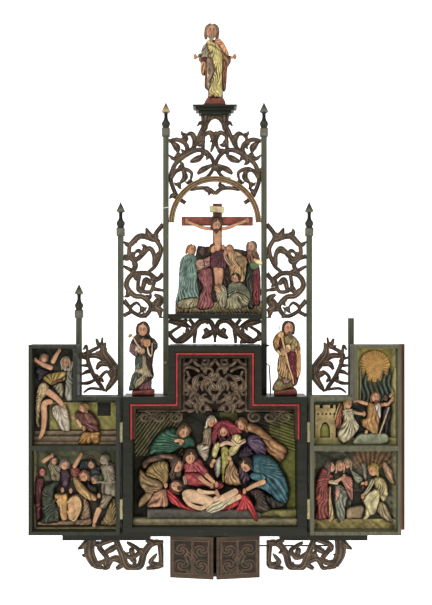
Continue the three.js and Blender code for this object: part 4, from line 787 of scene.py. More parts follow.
def outline_of(points):
    """A soft closed outline through points in hundredths."""
    p = np.array(points, float)
    ring = smooth(np.vstack([p[-2:], p, p[:2]]), 4 * (len(p) + 3) + 1)
    return ring[8:-5]


def inside_and_edge(outline, x, z):
    """Which grid points lie inside an outline, and how far they are from its edge."""
    a, b = outline, np.roll(outline, -1, axis=0)
    odd = np.zeros(x.shape, bool)
    away = np.full(x.shape, 1e9)
    for (ax, az), (bx, bz) in zip(a, b):
        dx, dz = bx - ax, bz - az
        crossing = ((az > z) != (bz > z)) & (x < ax + dx * (z - az) / (dz if abs(dz) > 1e-9 else 1e-9))
        odd ^= crossing
        t = np.clip(((x - ax) * dx + (z - az) * dz) / (dx * dx + dz * dz + 1e-9), 0, 1)
        away = np.minimum(away, np.hypot(x - ax - t * dx, z - az - t * dz))
    return odd, away


def soft_noise(x, z, seed):
    """Smooth random values from -1 to 1 on a unit grid."""
    table = np.random.default_rng(seed).uniform(-1, 1, (64, 64))
    i, k = np.floor(x).astype(int), np.floor(z).astype(int)
    f, g = x - i, z - k
    f, g = f * f * (3 - 2 * f), g * g * (3 - 2 * g)
    i, k = i % 64, k % 64
    j, m = (i + 1) % 64, (k + 1) % 64
    return (table[i, k] * (1 - f) + table[j, k] * f) * (1 - g) + (table[i, m] * (1 - f) + table[j, m] * f) * g


def folds_about(x, z, focus, spacing, seed):
    """Folds of cloth that spread from a point, bent and uneven: ridges 1, valleys 0."""
    warp = 2.2 * spacing
    x = x + warp * 0.55 * soft_noise(x / (3.2 * spacing) + 11, z / (3.2 * spacing) + 5, seed + 3)
    z = z + warp * 0.55 * soft_noise(x / (3.4 * spacing) + 2, z / (3.0 * spacing) + 17, seed + 4)
    dx, dz = x - focus[0], z - focus[1]
    reach = np.hypot(dx, dz)
    turn = np.arctan2(dz, dx)
    mean = max(np.mean(reach), 1.0)
    wave = turn * mean / spacing
    wave = wave + 0.9 * soft_noise(wave * 0.45 + 3, reach / (4 * spacing) + 5, seed + 1)
    ridge = np.abs(np.sin(np.pi * wave))
    fade = 0.62 + 0.5 * soft_noise(wave * 0.6, reach / (2.4 * spacing), seed + 2)
    fine = 0.5 + 0.5 * soft_noise(wave * 2.4, reach / (1.3 * spacing), seed + 5)
    return np.clip(1 - (1 - ridge**0.75) * np.clip(fade, 0.2, 1) - 0.16 * fine, 0, 1)


class Field:
    """A carved field: heights and colours over a grid, with cloths laid over the ground one by one."""

    def __init__(self, left, right, foot, top, wall, cell, rounding=11.0):
        self.box = (left, right, foot, top)
        self.wall = wall
        self.rounding = rounding
        x = np.linspace(left, right, int((right - left) / cell))
        z = np.linspace(foot, top, int((top - foot) / cell))
        self.x, self.z = np.meshgrid(x, z)
        self.u, self.v = 100 * (self.x - left) / (right - left), 100 * (self.z - foot) / (top - foot)
        self.height = np.zeros(self.x.shape)
        self.colour = np.zeros((*self.x.shape, 3))

    def at(self, u, v):
        """A place in mm from hundredths of the width and the height."""
        left, right, foot, top = self.box
        return np.array([left + u / 100 * (right - left), foot + v / 100 * (top - foot)])

    def place(self, u, v, d):
        """A point in mm at a depth in front of the wall."""
        x, z = self.at(u, v)
        return np.array([x, self.wall - d, z])

    def cloth(self, colour, base, bulge, focus, spacing, points, seed):
        """Cloth within an outline: a soft dome on its base height, with folds that spread from a point."""
        ring = np.array([self.at(u, v) for u, v in outline_of(points)])
        low, high = ring.min(0), ring.max(0)
        rows = slice(*np.searchsorted(self.z[:, 0], [low[1], high[1]]))
        columns = slice(*np.searchsorted(self.x[0], [low[0], high[0]]))
        x, z = self.x[rows, columns], self.z[rows, columns]
        if x.size == 0:
            return
        odd, away = inside_and_edge(ring, x, z)
        round_width = min(self.rounding, 0.42 * min(high - low))
        dome = np.sqrt(np.clip(1 - (1 - np.clip(away / round_width, 0, 1)) ** 2, 0, 1))
        ridge = folds_about(x, z, self.at(*focus), spacing, seed) if spacing else np.ones(x.shape)
        swell = soft_noise(x / 12, z / 12, seed + 6)
        valley = 0.55 * min(bulge, 7) * (1 - ridge) if spacing else 0
        lift = base + bulge * dome * (1 + 0.14 * swell) - valley
        # Painted shade: dark within 2.4 mm of the outline where the cloth meets what lies below, dark in the
        # folds' valleys and towards the edge of the dome, lighter where it swells.
        tone = np.clip(0.25 + away / 3.2, 0.25, 1) * (0.16 + 1.0 * ridge**1.5 if spacing else 1.0)
        tone = tone * (0.72 + 0.34 * dome) * (1 + 0.2 * swell)
        # Patches of wear that warm the colour here and there and break up the painted highlight below.
        wear_and_highlight = soft_noise(x / 5, z / 5, seed + 7)[..., None]
        shade = rgb(*colour) * tone[..., None] * (1 + 0.16 * wear_and_highlight * np.array([1.0, 0.9, 0.6]))
        # Painted highlight: a pale light on the ridges of the folds.
        if spacing:
            light = np.clip((ridge - 0.8) / 0.2, 0, 1)[..., None] * np.clip(wear_and_highlight + 0.6, 0, 1)
            shade = 0.9 * shade + 0.2 * light * (0.5 * rgb(*colour) + 0.5 * rgb(216, 192, 150))
        self.height[rows, columns] = np.where(odd, lift, self.height[rows, columns])
        self.colour[rows, columns] = np.where(odd[..., None], shade, self.colour[rows, columns])

    def mesh(self, keep=None, back=0.0, rear=None):
        """The kept quads with rims and a back, so the carving is closed; hollows are dark, ridges light."""
        rows, columns = self.x.shape
        around = self.height.copy()
        # Hollows darkened and ridges lightened from the height against its blur: painted shade and painted
        # highlight, over the carving's dark wash.
        for _ in range(3):
            wide = np.pad(around, 2, mode="edge")
            around = sum(wide[i:i + rows, k:k + columns] for i in range(0, 5, 2) for k in range(0, 5, 2)) / 9
        tone = np.clip(1 + 0.3 * (self.height - around), 0.28, 1.35)[..., None]
        tint = (self.colour * tone).reshape(-1, 3)
        front = np.stack([self.x, self.wall - self.height, self.z], -1).reshape(-1, 3)
        behind = front.copy()
        behind[:, 1] = self.wall + back * np.clip(around, 0, 99).ravel()
        faces = grid_faces(rows, columns)
        if keep is not None:
            faces = faces[keep.ravel()[faces].all(1)]
        count = len(front)
        start, end = faces.ravel(), np.roll(faces, -1, axis=1).ravel()
        rim = ~np.isin(end.astype(np.int64) * count + start, start.astype(np.int64) * count + end)
        a, b = start[rim], end[rim]
        sides = np.stack([b, a, a + count, b + count], -1)
        faces = np.concatenate([faces, faces[:, ::-1] + count, sides])
        used, index = np.unique(faces, return_inverse=True)
        points = np.concatenate([front, behind])[used] * mm
        plain = tint * 0.6 if rear is None else np.broadcast_to(rear, tint.shape)
        return points, index.reshape(faces.shape), np.concatenate([tint, plain])[used]


def figures(field, heads, hands, limbs, scale=1.0):
    """Heads, hands and bare limbs carved in front of a field's cloths."""
    parts = []
    for colour, points, radii, folds in limbs:
        line = [field.place(*p) for p in points]
        parts.append(tube(line, np.array(radii, float) * scale, rgb(*colour), folds, 0.4 if folds else 0.0))
    for (u, v, d), size, options in heads:
        told = {key: rgb(*value) if isinstance(value, tuple) else value for key, value in options.items()}
        parts += head(field.place(u, v, d), size * scale, told.pop("hair", rgb(60, 44, 34)), **told)
    for u, v, d in hands:
        parts.append(hand_at(field.place(u, v, d), 11 * scale))
    return parts


def show_carving(node, field, parts, body, knee, keep=None, back=0.0, rear=rgb(92, 70, 50)):
    """A field and the parts in front of it in the place of the solid; what is deeper than the knee is pressed
    back softly, so that it stays in the solid's room."""
    points, faces, tint = joined([field.mesh(keep, back, rear), *parts])
    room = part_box(node)[0].y
    deep = field.wall * mm - points[:, 1]
    rest = field.wall * mm - room - knee * mm
    over = np.clip(deep - knee * mm, 0, None)
    pressed = field.wall * mm - knee * mm - rest * np.tanh(over / rest)
    points[:, 1] = np.where(over > 0, pressed, points[:, 1])
    piece = new_object(node + "_carved", points, faces, carved_wood, tint)
    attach(piece, body)
    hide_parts(node)


def carve(node, body, seed, cloths, limbs, heads, hands, scale, cell, knee, ground=None, keep=None):
    """A relief in the room of its solid: a ground, cloths over it, then limbs, heads and hands.

    The ground is a pair of functions of u and v, its height and its colour. Without a ground the cloths
    stand alone, cut free around their outlines.
    """
    low, high = bounds_of(node)
    field = Field(low[0] / mm, high[0] / mm, low[2] / mm, high[2] / mm, high[1] / mm, cell)
    field.height[:] = ground[0](field.u, field.v) if ground else -1
    field.colour[:] = ground[1](field.u, field.v) if ground else 0
    for number, cloth in enumerate(cloths):
        field.cloth(*cloth, seed + 3 * number)
    kept = keep(field.u, field.v) if keep else None
    if ground is None:
        kept = field.height > 0
    show_carving(node, field, figures(field, heads, hands, limbs, scale), body, knee, kept)


# A cloth is its colour, the height of its edge, its bulge, the point its folds spread from, their spacing
# (0 for none) and its outline. Places are hundredths of the field's width and height, the rest is in mm.
centre_cloths = [
    # green robe
    ((52, 98, 76), 20, 16, (37.5, 68), 8, [(10, 61), (9.5, 67), (12.5, 75.5), (17, 82.5), (23, 86),
      (27.5, 83), (29, 78.5), (33, 80), (36.5, 76.5), (37.5, 69.5), (33, 67.5), (28.5, 68), (24, 64),
      (19, 63.5), (15.5, 62.5)]),
    # veiled body
    ((158, 134, 104), 14, 12, (46.5, 90.5), 7, [(42.5, 83), (46.5, 87.5), (50, 83), (49, 74.5), (47, 65),
      (43.5, 55.5), (39, 64), (39, 69.5), (42.5, 74.5)]),
    # pale cloth
    ((196, 176, 154), 18, 9, (39, 65), 7, [(38.5, 69.5), (46, 70.5), (46.5, 65), (45, 56.5), (42, 57.5)]),
    # tan mantle
    ((168, 120, 76), 16, 15, (64.5, 92), 8, [(62.5, 90), (70, 91), (77.5, 88), (86.5, 76), (95, 66),
      (91, 55), (86.5, 58.5), (82.5, 64), (79.5, 74), (73.5, 81.5), (66, 83.5)]),
    # purple dress
    ((92, 72, 98), 20, 13, (70, 80), 8, [(70.5, 78.5), (77.5, 79.5), (81.5, 69.5), (81.5, 61.5), (76, 60.5),
      (71.5, 63), (70.5, 70.5)]),
    # purple back
    ((84, 68, 84), 14, 10, (66, 60), 8, [(65, 64), (70, 70.5), (74.5, 65), (75, 60), (66, 57.5)]),
    # crimson mantle
    ((142, 42, 58), 26, 15, (56, 93.5), 8, [(51, 92), (57, 94), (63, 89.5), (67.5, 83), (63.5, 81),
      (57.5, 79.5), (53, 82.5), (51.5, 78), (50, 70), (48, 74), (48.5, 84)]),
    # sleeve left
    ((204, 190, 126), 32, 9, (48.5, 57.5), 7, [(51, 73.5), (53.5, 72.5), (52, 64), (50.5, 59.5), (48, 61.5),
      (49, 69.5)]),
    # sleeve right
    ((204, 190, 126), 34, 10, (58.5, 62), 7, [(60.5, 80.5), (65.5, 80.5), (66.5, 72.5), (63, 64), (59, 61),
      (58, 67), (61, 72.5)]),
    # olive dress
    ((166, 156, 76), 30, 10, (56, 76.5), 6, [(54, 69.5), (58, 69.5), (59, 55.5), (57, 41), (54.5, 37.5),
      (54, 55.5)]),
    # striped dress
    ((160, 158, 140), 24, 9, (53, 68), 6, [(50.5, 57), (54, 60.5), (54, 47), (51, 40.5), (49.5, 49.5)]),
    # tan skirt
    ((172, 134, 92), 26, 12, (61, 62), 7, [(56, 49.5), (59, 55.5), (63, 51.5), (65.5, 43), (66.5, 35),
      (58.5, 34.5), (55.5, 38.5)]),
    # purple under
    ((86, 68, 84), 26, 8, (66, 55.5), 7, [(65, 51.5), (69.5, 47), (72.5, 41), (67.5, 34.5), (65, 41)]),
    # rose shoulder
    ((168, 72, 76), 30, 15, (36, 60), 9, [(31, 54.5), (36, 58), (41, 57.5), (44, 51.5), (47, 44.5),
      (50, 40.5), (48, 37), (43.5, 40.5), (40, 46), (39, 42), (36, 41), (31, 47)]),
    # rose lap
    ((158, 52, 56), 32, 14, (48, 34.5), 9, [(31, 46), (39, 47), (45, 41), (50, 37.5), (54.5, 37),
      (55.5, 32), (49.5, 31), (43.5, 33.5), (37.5, 34), (32, 36)]),
    # violet mantle
    ((112, 84, 68), 28, 14, (28.5, 60), 8, [(5.5, 55.5), (10, 60), (16, 63), (23, 63), (28.5, 59.5),
      (30, 51.5), (28.5, 41), (24, 41), (23, 49.5), (21, 57), (15.5, 55.5), (10.5, 54.5), (7.5, 50),
      (5, 51)]),
    # ochre sleeve
    ((146, 120, 68), 36, 16, (20.5, 36.5), 8, [(9.5, 52), (15.5, 57), (21, 55.5), (22, 47), (21, 38.5),
      (18.5, 34), (15.5, 40.5), (11, 41.5), (7, 45)]),
    # hanging cloth
    ((150, 120, 80), 34, 14, (20, 34.5), 8, [(4, 49.5), (8, 45), (15.5, 40.5), (18.5, 35.5), (15.5, 27),
      (10.5, 21.5), (5.5, 16), (2.5, 15.5), (3.5, 22), (7, 28), (4, 34.5), (3, 41)]),
    # pinkish robe
    ((172, 122, 94), 38, 13, (19, 32.5), 8, [(13, 30), (20, 31.5), (21, 25), (21, 16.5), (15.5, 15.5),
      (8, 15.5), (9.5, 21.5)]),
    # teal mantle
    ((54, 98, 108), 32, 20, (76, 55.5), 9, [(74, 61.5), (81, 62), (88, 55.5), (92.5, 45), (95.5, 31.5),
      (94, 18.5), (88, 21.5), (83, 28), (77.5, 32), (71.5, 33.5), (72, 37.5), (79.5, 38.5), (80.5, 42),
      (73.5, 47), (72.5, 53.5)]),
    # teal sleeve
    ((62, 108, 116), 44, 9, (73.5, 51.5), 8, [(72.5, 47), (80.5, 46), (81, 41), (77.5, 38.5), (72, 42)]),
    # dark knee
    ((72, 58, 50), 36, 12, (76, 30.5), 9, [(71, 31), (77.5, 32), (81.5, 25), (84.5, 14.5), (79, 10),
      (74, 13.5), (75, 21.5)]),
    # dark cloth
    ((64, 64, 60), 30, 8, (82.5, 27), 9, [(81, 25.5), (91, 20), (94, 18.5), (91, 14.5), (84, 14.5)]),
    # red cloth left
    ((186, 36, 40), 40, 9, (39, -1.5), 9, [(20.5, 32), (24, 31), (28.5, 21.5), (36, 14.5), (42, 12.5),
      (37.5, 12), (30, 14), (24, 18.5), (21, 24)]),
    # red cloth right
    ((186, 36, 40), 42, 10, (66, 34.5), 9, [(43.5, 12.5), (49.5, 13.5), (55.5, 16.5), (61.5, 22.5),
      (65.5, 30.5), (66, 27), (65.5, 19.5), (61, 14.5), (55.5, 12.5)]),
    # red tail
    ((202, 40, 42), 46, 8, (67, 31.5), 10, [(66, 28), (70.5, 25), (73, 19.5), (76.5, 5), (74, 4.5),
      (70.5, 13.5), (63, 12.5), (65, 19.5)]),
]


def centre_height(u, v):
    """Rough rock with cut rays in both upper corners, over two steps."""
    rays = 1.8 * np.abs(np.sin((0.5 * v - u) * 1.35)) * (v > 60) * (u < 30)
    rays = rays + 1.8 * np.abs(np.sin((v + 0.5 * u) * 1.1)) * (v > 64) * (u > 78)
    lower = 12 + 2.5 * lumps(u, v, 0.22, 3) + rays + np.clip(34 - v, 0, 34) * 0.5
    lower = np.where((v < 13.5) & (u > 8.5) & (u < 78), 46 + 0.8 * lumps(u, v, 0.5, 5), lower)
    lower = np.where((v < 12) & (u >= 78), 40 + 3 * lumps(u, v, 0.3, 9), lower)
    return np.where(v < 5.2, 53 + 0.6 * lumps(u, v, 0.6, 6), lower)


def centre_colour(u, v):
    """Dark rock with pale rays, grass and an edge at the right, grey steps."""
    pick = lumps(u, v, 0.18, 8)[..., None]
    base = rgb(50, 48, 32) * (1 + 0.5 * pick)
    grass = (u > 84) & (v > 40) | (u > 53) & (u < 64) & (v > 88)
    base = np.where(grass[..., None], rgb(112, 112, 52) * (0.9 + 0.4 * pick), base)
    base = np.where(((u > 95) | ((u > 91) & (v > 45)))[..., None], rgb(132, 134, 58), base)
    left = (np.abs(np.sin((0.5 * v - u) * 1.35))[..., None] ** 3) * ((v > 60) & (u < 30))[..., None]
    base = base + left * rgb(120, 112, 70)
    right = (np.abs(np.sin((v + 0.5 * u) * 1.1))[..., None] ** 2) * ((v > 64) & (u > 78))[..., None]
    base = base * (1 - 0.7 * ((v > 64) & (u > 78))[..., None] * (1 - right))
    base = np.where(((v < 13.5) & (u > 8.5) & (u < 78))[..., None], rgb(88, 84, 74) * (1 + 0.25 * pick), base)
    base = np.where(((v < 12) & (u >= 78))[..., None], rgb(128, 120, 66) * (1 + 0.3 * pick), base)
    return np.where((v < 5.2)[..., None], rgb(142, 132, 98) * (0.9 + 0.2 * pick), base)


flesh, pale_flesh = (206, 152, 112), (216, 176, 136)
centre_limbs = [
    # forearms of the mourners
    (flesh, [(25, 75, 38), (28, 76, 40), (31, 75, 42)], [4, 4, 3], 0),
    (flesh, [(44, 46, 46), (47, 42, 50), (50, 38, 52)], [6, 5, 4], 0),
    (flesh, [(40, 44, 46), (44, 39, 50), (48, 36, 54)], [6, 5, 4], 0),
    ((206, 170, 140), [(60, 77, 40), (64, 73, 42), (69, 76, 40)], [5, 5, 5], 4),
    (flesh, [(81, 40, 52), (74, 36, 56), (69, 32, 56)], [6.5, 5, 4], 0),
    (flesh, [(58, 62, 44), (60, 58, 46)], [5, 4], 0),
    (flesh, [(50, 59, 42), (48, 55, 44)], [5, 3.5], 0),
    (pale_flesh, [(53, 71, 40), (57, 74, 43), (62, 72, 42)], [4, 4.6, 4], 0),
    ((70, 40, 44), [(53, 79, 34), (57, 74, 36), (61, 79, 34)], [7, 9, 7], 5),
    ((176, 166, 96), [(56, 68, 34), (58, 62, 34)], [8, 7], 4),
    # dead figure: chest, belly, legs and arms, with a pale cloth over the hips
    (pale_flesh, [(30, 29, 50), (35, 27, 54), (42, 24, 55), (49, 20, 55)], [7, 15, 13, 11], 0),
    (pale_flesh, [(50, 20, 54), (57, 26, 56), (64, 32, 56)], [10, 9, 7], 0),
    (pale_flesh, [(51, 17, 53), (58, 21, 55), (66, 27, 54)], [9, 7, 6], 0),
    (pale_flesh, [(31, 27, 58), (35, 19, 61), (42, 16, 62), (48, 22, 62), (51, 26, 61)],
     [6, 5, 5, 4, 3.5], 0),
    (pale_flesh, [(39, 32, 58), (44, 30, 61), (50, 30, 60)], [5, 4.5, 3.5], 0),
    ((206, 196, 160), [(45, 13, 56), (50, 18, 61), (55, 22, 61)], [6, 8, 6], 5),
    ((206, 196, 160), [(47, 12, 55), (54, 17, 60), (60, 24, 58)], [4, 6, 4], 5),
    # long beard and stripes of the hooded figure
    ((84, 66, 52), [(25, 50, 44), (24, 44, 46), (25, 40, 46)], [6, 7, 3], 6),
    ((190, 170, 130), [(31, 44, 42), (32, 36, 44)], [4, 5], 5),
]
centre_heads = [
    ((30.8, 84, 36), 31, {"hair": (110, 84, 56), "yaw": 20, "pitch": 16, "roll": 16}),
    ((26.6, 53, 44), 31, {"hood": (96, 76, 62), "beard": (110, 92, 74), "yaw": 42, "pitch": 20, "roll": 12}),
    ((34.8, 61, 44), 31, {"hair": (84, 58, 42), "yaw": 14, "pitch": 22, "roll": 8}),
    ((47.8, 92, 26), 25, {"hood": (214, 204, 178), "yaw": 14, "pitch": 18, "roll": 12}),
    ((55.2, 84.5, 40), 26, {"hood": (136, 44, 60), "yaw": -4, "pitch": 30, "roll": -6}),
    ((66.5, 90, 30), 27, {"hood": (150, 112, 76), "yaw": -36, "pitch": 26, "roll": -12}),
    ((69, 54, 48), 31, {"hair": (62, 48, 40), "yaw": -34, "pitch": 30, "roll": -16}),
    ((26.5, 35, 54), 28, {"hair": (84, 56, 38), "beard": (84, 56, 38), "yaw": 10, "pitch": -26, "roll": -58}),
]
centre_hands = [
    (29, 74, 42), (20, 36, 52), (51, 37, 56), (48, 36, 56), (48, 54, 46), (60, 56, 48), (68, 31, 58),
    (52, 27, 62), (51, 30, 62),
]
carve("centre_relief", "altar", 11, centre_cloths, centre_limbs, centre_heads, centre_hands, 1.0, 1.3, 44,
      (centre_height, centre_colour))


# Carved fields of the wings
# Lower reliefs in the same painted lime wood, two on each wing, glued on its board behind the frame. The
# upper field of a wing is stepped like the wing itself.

def wing_keep(node):
    """Which part of an upper field is there, read from its solid: over the shoulder it is cut away."""
    mesh = nodes[node].data
    place = np.zeros(len(mesh.vertices) * 3)
    mesh.vertices.foreach_get("co", place)
    place = place.reshape(-1, 3)
    low, high = place.min(0), place.max(0)
    outer_left = abs(low[0]) > abs(high[0])
    tall = place[place[:, 2] > high[2] - 1e-4][:, 0]
    edge = tall.max() if outer_left else tall.min()
    near_hinge = high[0] if outer_left else low[0]
    shoulder = place[np.abs(place[:, 0] - near_hinge) < 1e-4][:, 2].max()
    step_u = 100 * (edge - low[0]) / (high[0] - low[0])
    step_v = 100 * (shoulder - low[2]) / (high[2] - low[2])
    return lambda u, v: (v <= step_v + 0.8) | ((u <= step_u + 0.8) if outer_left else (u >= step_u - 0.8))


wing_cell, wing_knee, wing_scale = 1.2, 18, 0.9
left_upper_cloths = [
    # gold tunic
    ((164, 140, 66), 12, 9, (21, 62), 9, [(10, 68), (14, 72), (21, 74), (28, 75), (34, 76), (39, 74),
      (38, 68), (31, 64), (25, 62), (21, 61), (14, 65)]),
    # sash
    ((120, 66, 44), 18, 4, (21, 61), 7, [(22, 65), (30, 68), (36, 70), (34, 66), (28, 64), (22, 61)]),
    # old robe
    ((150, 146, 132), 6, 9, (42, 84), 9, [(39, 79), (46, 79), (47, 65), (46, 54), (46, 46), (39, 45),
      (36, 52), (37, 62)]),
    # skirt
    ((150, 140, 110), 12, 7, (26, 68), 8, [(23, 61), (33, 64), (35, 58), (34, 48), (30, 51), (25, 57)]),
    # cloak
    ((186, 164, 122), 10, 9, (12, 68), 8, [(6, 62), (13, 64), (18, 59), (16, 52), (10, 46), (8, 37),
      (6, 25), (6, 17), (2, 21), (1, 37), (2, 51)]),
    # striped cloth
    ((196, 182, 160), 10, 8, (25, 41), 8, [(21, 37), (26, 41), (32, 40), (39, 38), (42, 27), (43, 15),
      (36, 13), (30, 17), (26, 25), (22, 30)]),
    # maroon cloak
    ((116, 66, 58), 14, 11, (58, 36), 8, [(50, 32), (55, 33), (66, 34), (71, 31), (77, 24), (78, 14),
      (73, 13), (65, 14), (62, 19), (55, 23)]),
    # ochre skirt
    ((172, 124, 56), 14, 9, (66, 14), 8, [(58, 11), (65, 13), (78, 13), (80, 8), (79, 1), (70, 0),
      (54, 0)]),
    # waist band
    ((50, 44, 60), 8, 6, (9, 74), 7, [(1, 79), (10, 78), (18, 75), (14, 72), (10, 68), (5, 65), (2, 70)]),
]


def left_upper_height(u, v):
    """A wall with a grated window, over two steps."""
    wall = 6 + 0.8 * lumps(u, v, 0.3, 21)
    window = (u > 76) & (u < 92) & (v > 29) & (v < 43)
    grate = 1.2 * (np.abs(np.sin(u * 1.5)) > 0.75) + 1.2 * (np.abs(np.sin(v * 1.5)) > 0.75)
    wall = np.where(window, 3 + grate, wall)
    wall = np.where(v < 14, 10 + 0.5 * lumps(u, v, 0.4, 22), wall)
    wall = np.where(v < 9, 15, wall)
    return np.where(v < 3, 18, wall)


def left_upper_colour(u, v):
    """A dark wall, olive below, with a dark window and dark seams between the steps."""
    pick = lumps(u, v, 0.3, 23)[..., None]
    base = rgb(56, 54, 44) * (1 + 0.3 * pick)
    base = np.where(((u > 18) & (v < 43))[..., None], rgb(150, 142, 72) * (1 + 0.22 * pick), base)
    base = np.where(((u > 76) & (u < 92) & (v > 29) & (v < 43))[..., None], rgb(46, 44, 36), base)
    base = np.where((v < 14)[..., None], rgb(134, 116, 88) * (1 + 0.15 * pick), base)
    seam = (np.abs(v - 8.8) < 0.7) | (np.abs(v - 14) < 0.6) | (np.abs(v - 3) < 0.5)
    return np.where(seam[..., None], rgb(70, 56, 42), base)


left_upper_limbs = [
    (flesh, [(22, 84, 17), (26, 91, 18), (31, 98, 18)], [6, 6, 3.5], 0),
    (flesh, [(23, 79, 21), (11, 83, 20), (1.5, 88, 19)], [6.5, 5.5, 3.5], 0),
    (flesh, [(15, 56, 18), (28, 48, 21), (36, 40, 20)], [9, 7.5, 5], 0),
    (flesh, [(23, 45, 19), (13, 42, 20), (13, 28, 20), (11, 14, 20), (7, 6, 21)], [6, 8, 7.5, 6, 4], 0),
    (flesh, [(52, 26, 20), (58, 18, 22)], [4.5, 4], 0),
    ((196, 186, 160), [(35, 80, 17), (44, 78, 18), (47, 86, 16)], [3.5, 4, 3], 4),
]
left_upper_heads = [
    ((12, 89, 12), 24, {"hair": (120, 112, 100), "yaw": 30, "pitch": -20, "roll": 10}),
    ((38.8, 85, 14), 27, {"hood": (170, 160, 136), "beard": (176, 166, 146), "yaw": -10, "pitch": 6}),
    ((60.5, 38, 16), 25, {"hair": (168, 132, 76), "yaw": -70, "pitch": 10, "roll": -14}),
]
left_upper_hands = [(31, 98, 19), (2, 88, 20), (37, 39, 22), (61, 17, 24), (48, 28, 22)]
carve("left_wing_upper_relief", "left_wing", 31, left_upper_cloths, left_upper_limbs, left_upper_heads,
      left_upper_hands, wing_scale, wing_cell, wing_knee, (left_upper_height, left_upper_colour),
      wing_keep("left_wing_upper_relief"))


left_lower_cloths = [
    # maroon column
    ((106, 48, 54), 6, 9, (6, 78), 9, [(1, 63), (6, 64), (11, 62), (10, 46), (8, 31), (8, 17), (7, 12),
      (2, 12), (0, 31)]),
    # armour body
    ((140, 128, 100), 12, 9, (22, 83), 7, [(16, 78), (19, 84), (25, 82), (31, 78), (33, 70), (30, 60),
      (26, 59), (21, 62), (19, 71)]),
    # purple body
    ((70, 48, 66), 8, 8, (36, 71), 8, [(31, 73), (40, 74), (43, 65), (41, 56), (38, 51), (33, 54)]),
    # green robe
    ((58, 66, 52), 14, 12, (27, 39), 8, [(12, 53), (19, 57), (26, 60), (30, 59), (25, 51), (24, 42),
      (26, 34), (30, 26), (31, 17), (29, 10), (9, 8), (12, 17), (10, 26), (9, 42)]),
    # maroon shoulder
    ((134, 66, 56), 12, 8, (49, 76), 7, [(44, 75), (49, 78), (56, 74), (55, 67), (49, 64), (45, 68)]),
    # dark blue coat
    ((48, 58, 60), 8, 9, (65, 85), 8, [(55, 83), (63, 86), (75, 78), (80, 76), (79, 68), (70, 67), (65, 73),
      (55, 74)]),
    # ochre robe
    ((176, 138, 86), 16, 11, (50, 65), 8, [(47, 65), (52, 65), (57, 59), (64, 51), (72, 44), (76, 40),
      (75, 36), (68, 36), (60, 40), (54, 46), (49, 54)]),
    # dark sleeve
    ((52, 44, 42), 16, 6, (66, 59), 7, [(65, 59), (68, 56), (75, 51), (76, 46), (71, 47), (65, 52)]),
    # gold shield
    ((186, 138, 70), 18, 7, (33, 46), 0, [(25, 43), (33, 44), (40, 44), (41, 31), (41, 16), (40, 12),
      (34, 12), (30, 26)]),
    # oval shield
    ((190, 148, 100), 18, 9, (49, 27), 0, [(41, 36), (45, 41), (52, 43), (57, 37), (58, 28), (55, 18),
      (48, 12), (42, 13), (41, 25)]),
    # rock
    ((150, 122, 92), 10, 8, (60, 16), 9, [(53, 44), (60, 40), (65, 34), (67, 26), (68, 16), (65, 11),
      (55, 12), (57, 23), (58, 33)]),
    # soldier coat
    ((140, 130, 108), 14, 9, (90, 81), 8, [(80, 78), (86, 81), (97, 79), (99, 62), (100, 42), (92, 42),
      (82, 44), (81, 57), (84, 63)]),
    # soldier breeches
    ((130, 116, 92), 16, 8, (90, 46), 8, [(82, 44), (95, 42), (91, 34), (86, 26), (80, 26), (79, 31),
      (82, 39)]),
    # right ground
    ((160, 134, 84), 6, 7, (93, 8), 9, [(90, 31), (95, 39), (99, 31), (100, 5), (80, 5), (85, 16)]),
    # ridge
    ((150, 118, 92), 10, 8, (46, -8), 9, [(5, 9), (16, 8), (33, 11), (53, 12), (68, 13), (68, 5), (46, 4),
      (16, 4), (4, 5)]),
]


def left_lower_height(u, v):
    """A rough ground with a sunk edge all around."""
    rim = np.minimum.reduce([u, 100 - u, v, 100 - v])
    return 5 + 1.0 * lumps(u, v, 0.25, 41) + 8 * np.clip(1 - rim / 3, 0, 1)


def left_lower_colour(u, v):
    """Grey green above, dark earth below, an olive edge."""
    pick = lumps(u, v, 0.25, 43)[..., None]
    base = rgb(116, 120, 84) * (1 + 0.25 * pick)
    base = np.where((v < 60)[..., None], rgb(58, 50, 38) * (1 + 0.3 * pick), base)
    rim = np.minimum.reduce([u, 100 - u, v, 100 - v])[..., None]
    return np.where(rim < 3, rgb(132, 126, 82), base)


left_lower_limbs = [
    (flesh, [(10, 84, 17), (15, 88, 18), (22, 93, 18)], [6, 5.5, 3.5], 0),
    (flesh, [(48, 77, 17), (53, 86, 18), (57, 94, 17)], [5.5, 5, 3.5], 0),
    (flesh, [(80, 28, 22), (76, 18, 22), (73, 8, 22)], [8, 6.5, 4.5], 0),
    ((84, 62, 46), [(56, 96, 16), (76, 89, 18), (99, 80, 18)], [2.2, 2.4, 2.4], 0),
    ((150, 136, 108), [(21, 82, 20), (25, 74, 22), (31, 68, 20)], [4, 5, 4], 5),
    ((60, 66, 50), [(12, 30, 22), (22, 34, 24), (30, 40, 22)], [4, 5, 3], 4),
    ((60, 66, 50), [(14, 18, 22), (24, 24, 24), (32, 28, 22)], [4, 5, 3], 4),
    ((206, 170, 120), [(33, 42, 27), (34, 25, 27), (38, 13, 27)], [2.2, 2.2, 2], 0),
    ((206, 170, 120), [(40, 34, 27), (52, 41, 27), (57, 30, 27), (49, 12, 27), (41, 24, 27)],
     [2.4, 2.6, 2.6, 2.4, 2.2], 0),
    ((150, 140, 112), [(78, 60, 22), (88, 59, 24), (99, 60, 22)], [2.4, 2.8, 2.4], 0),
]
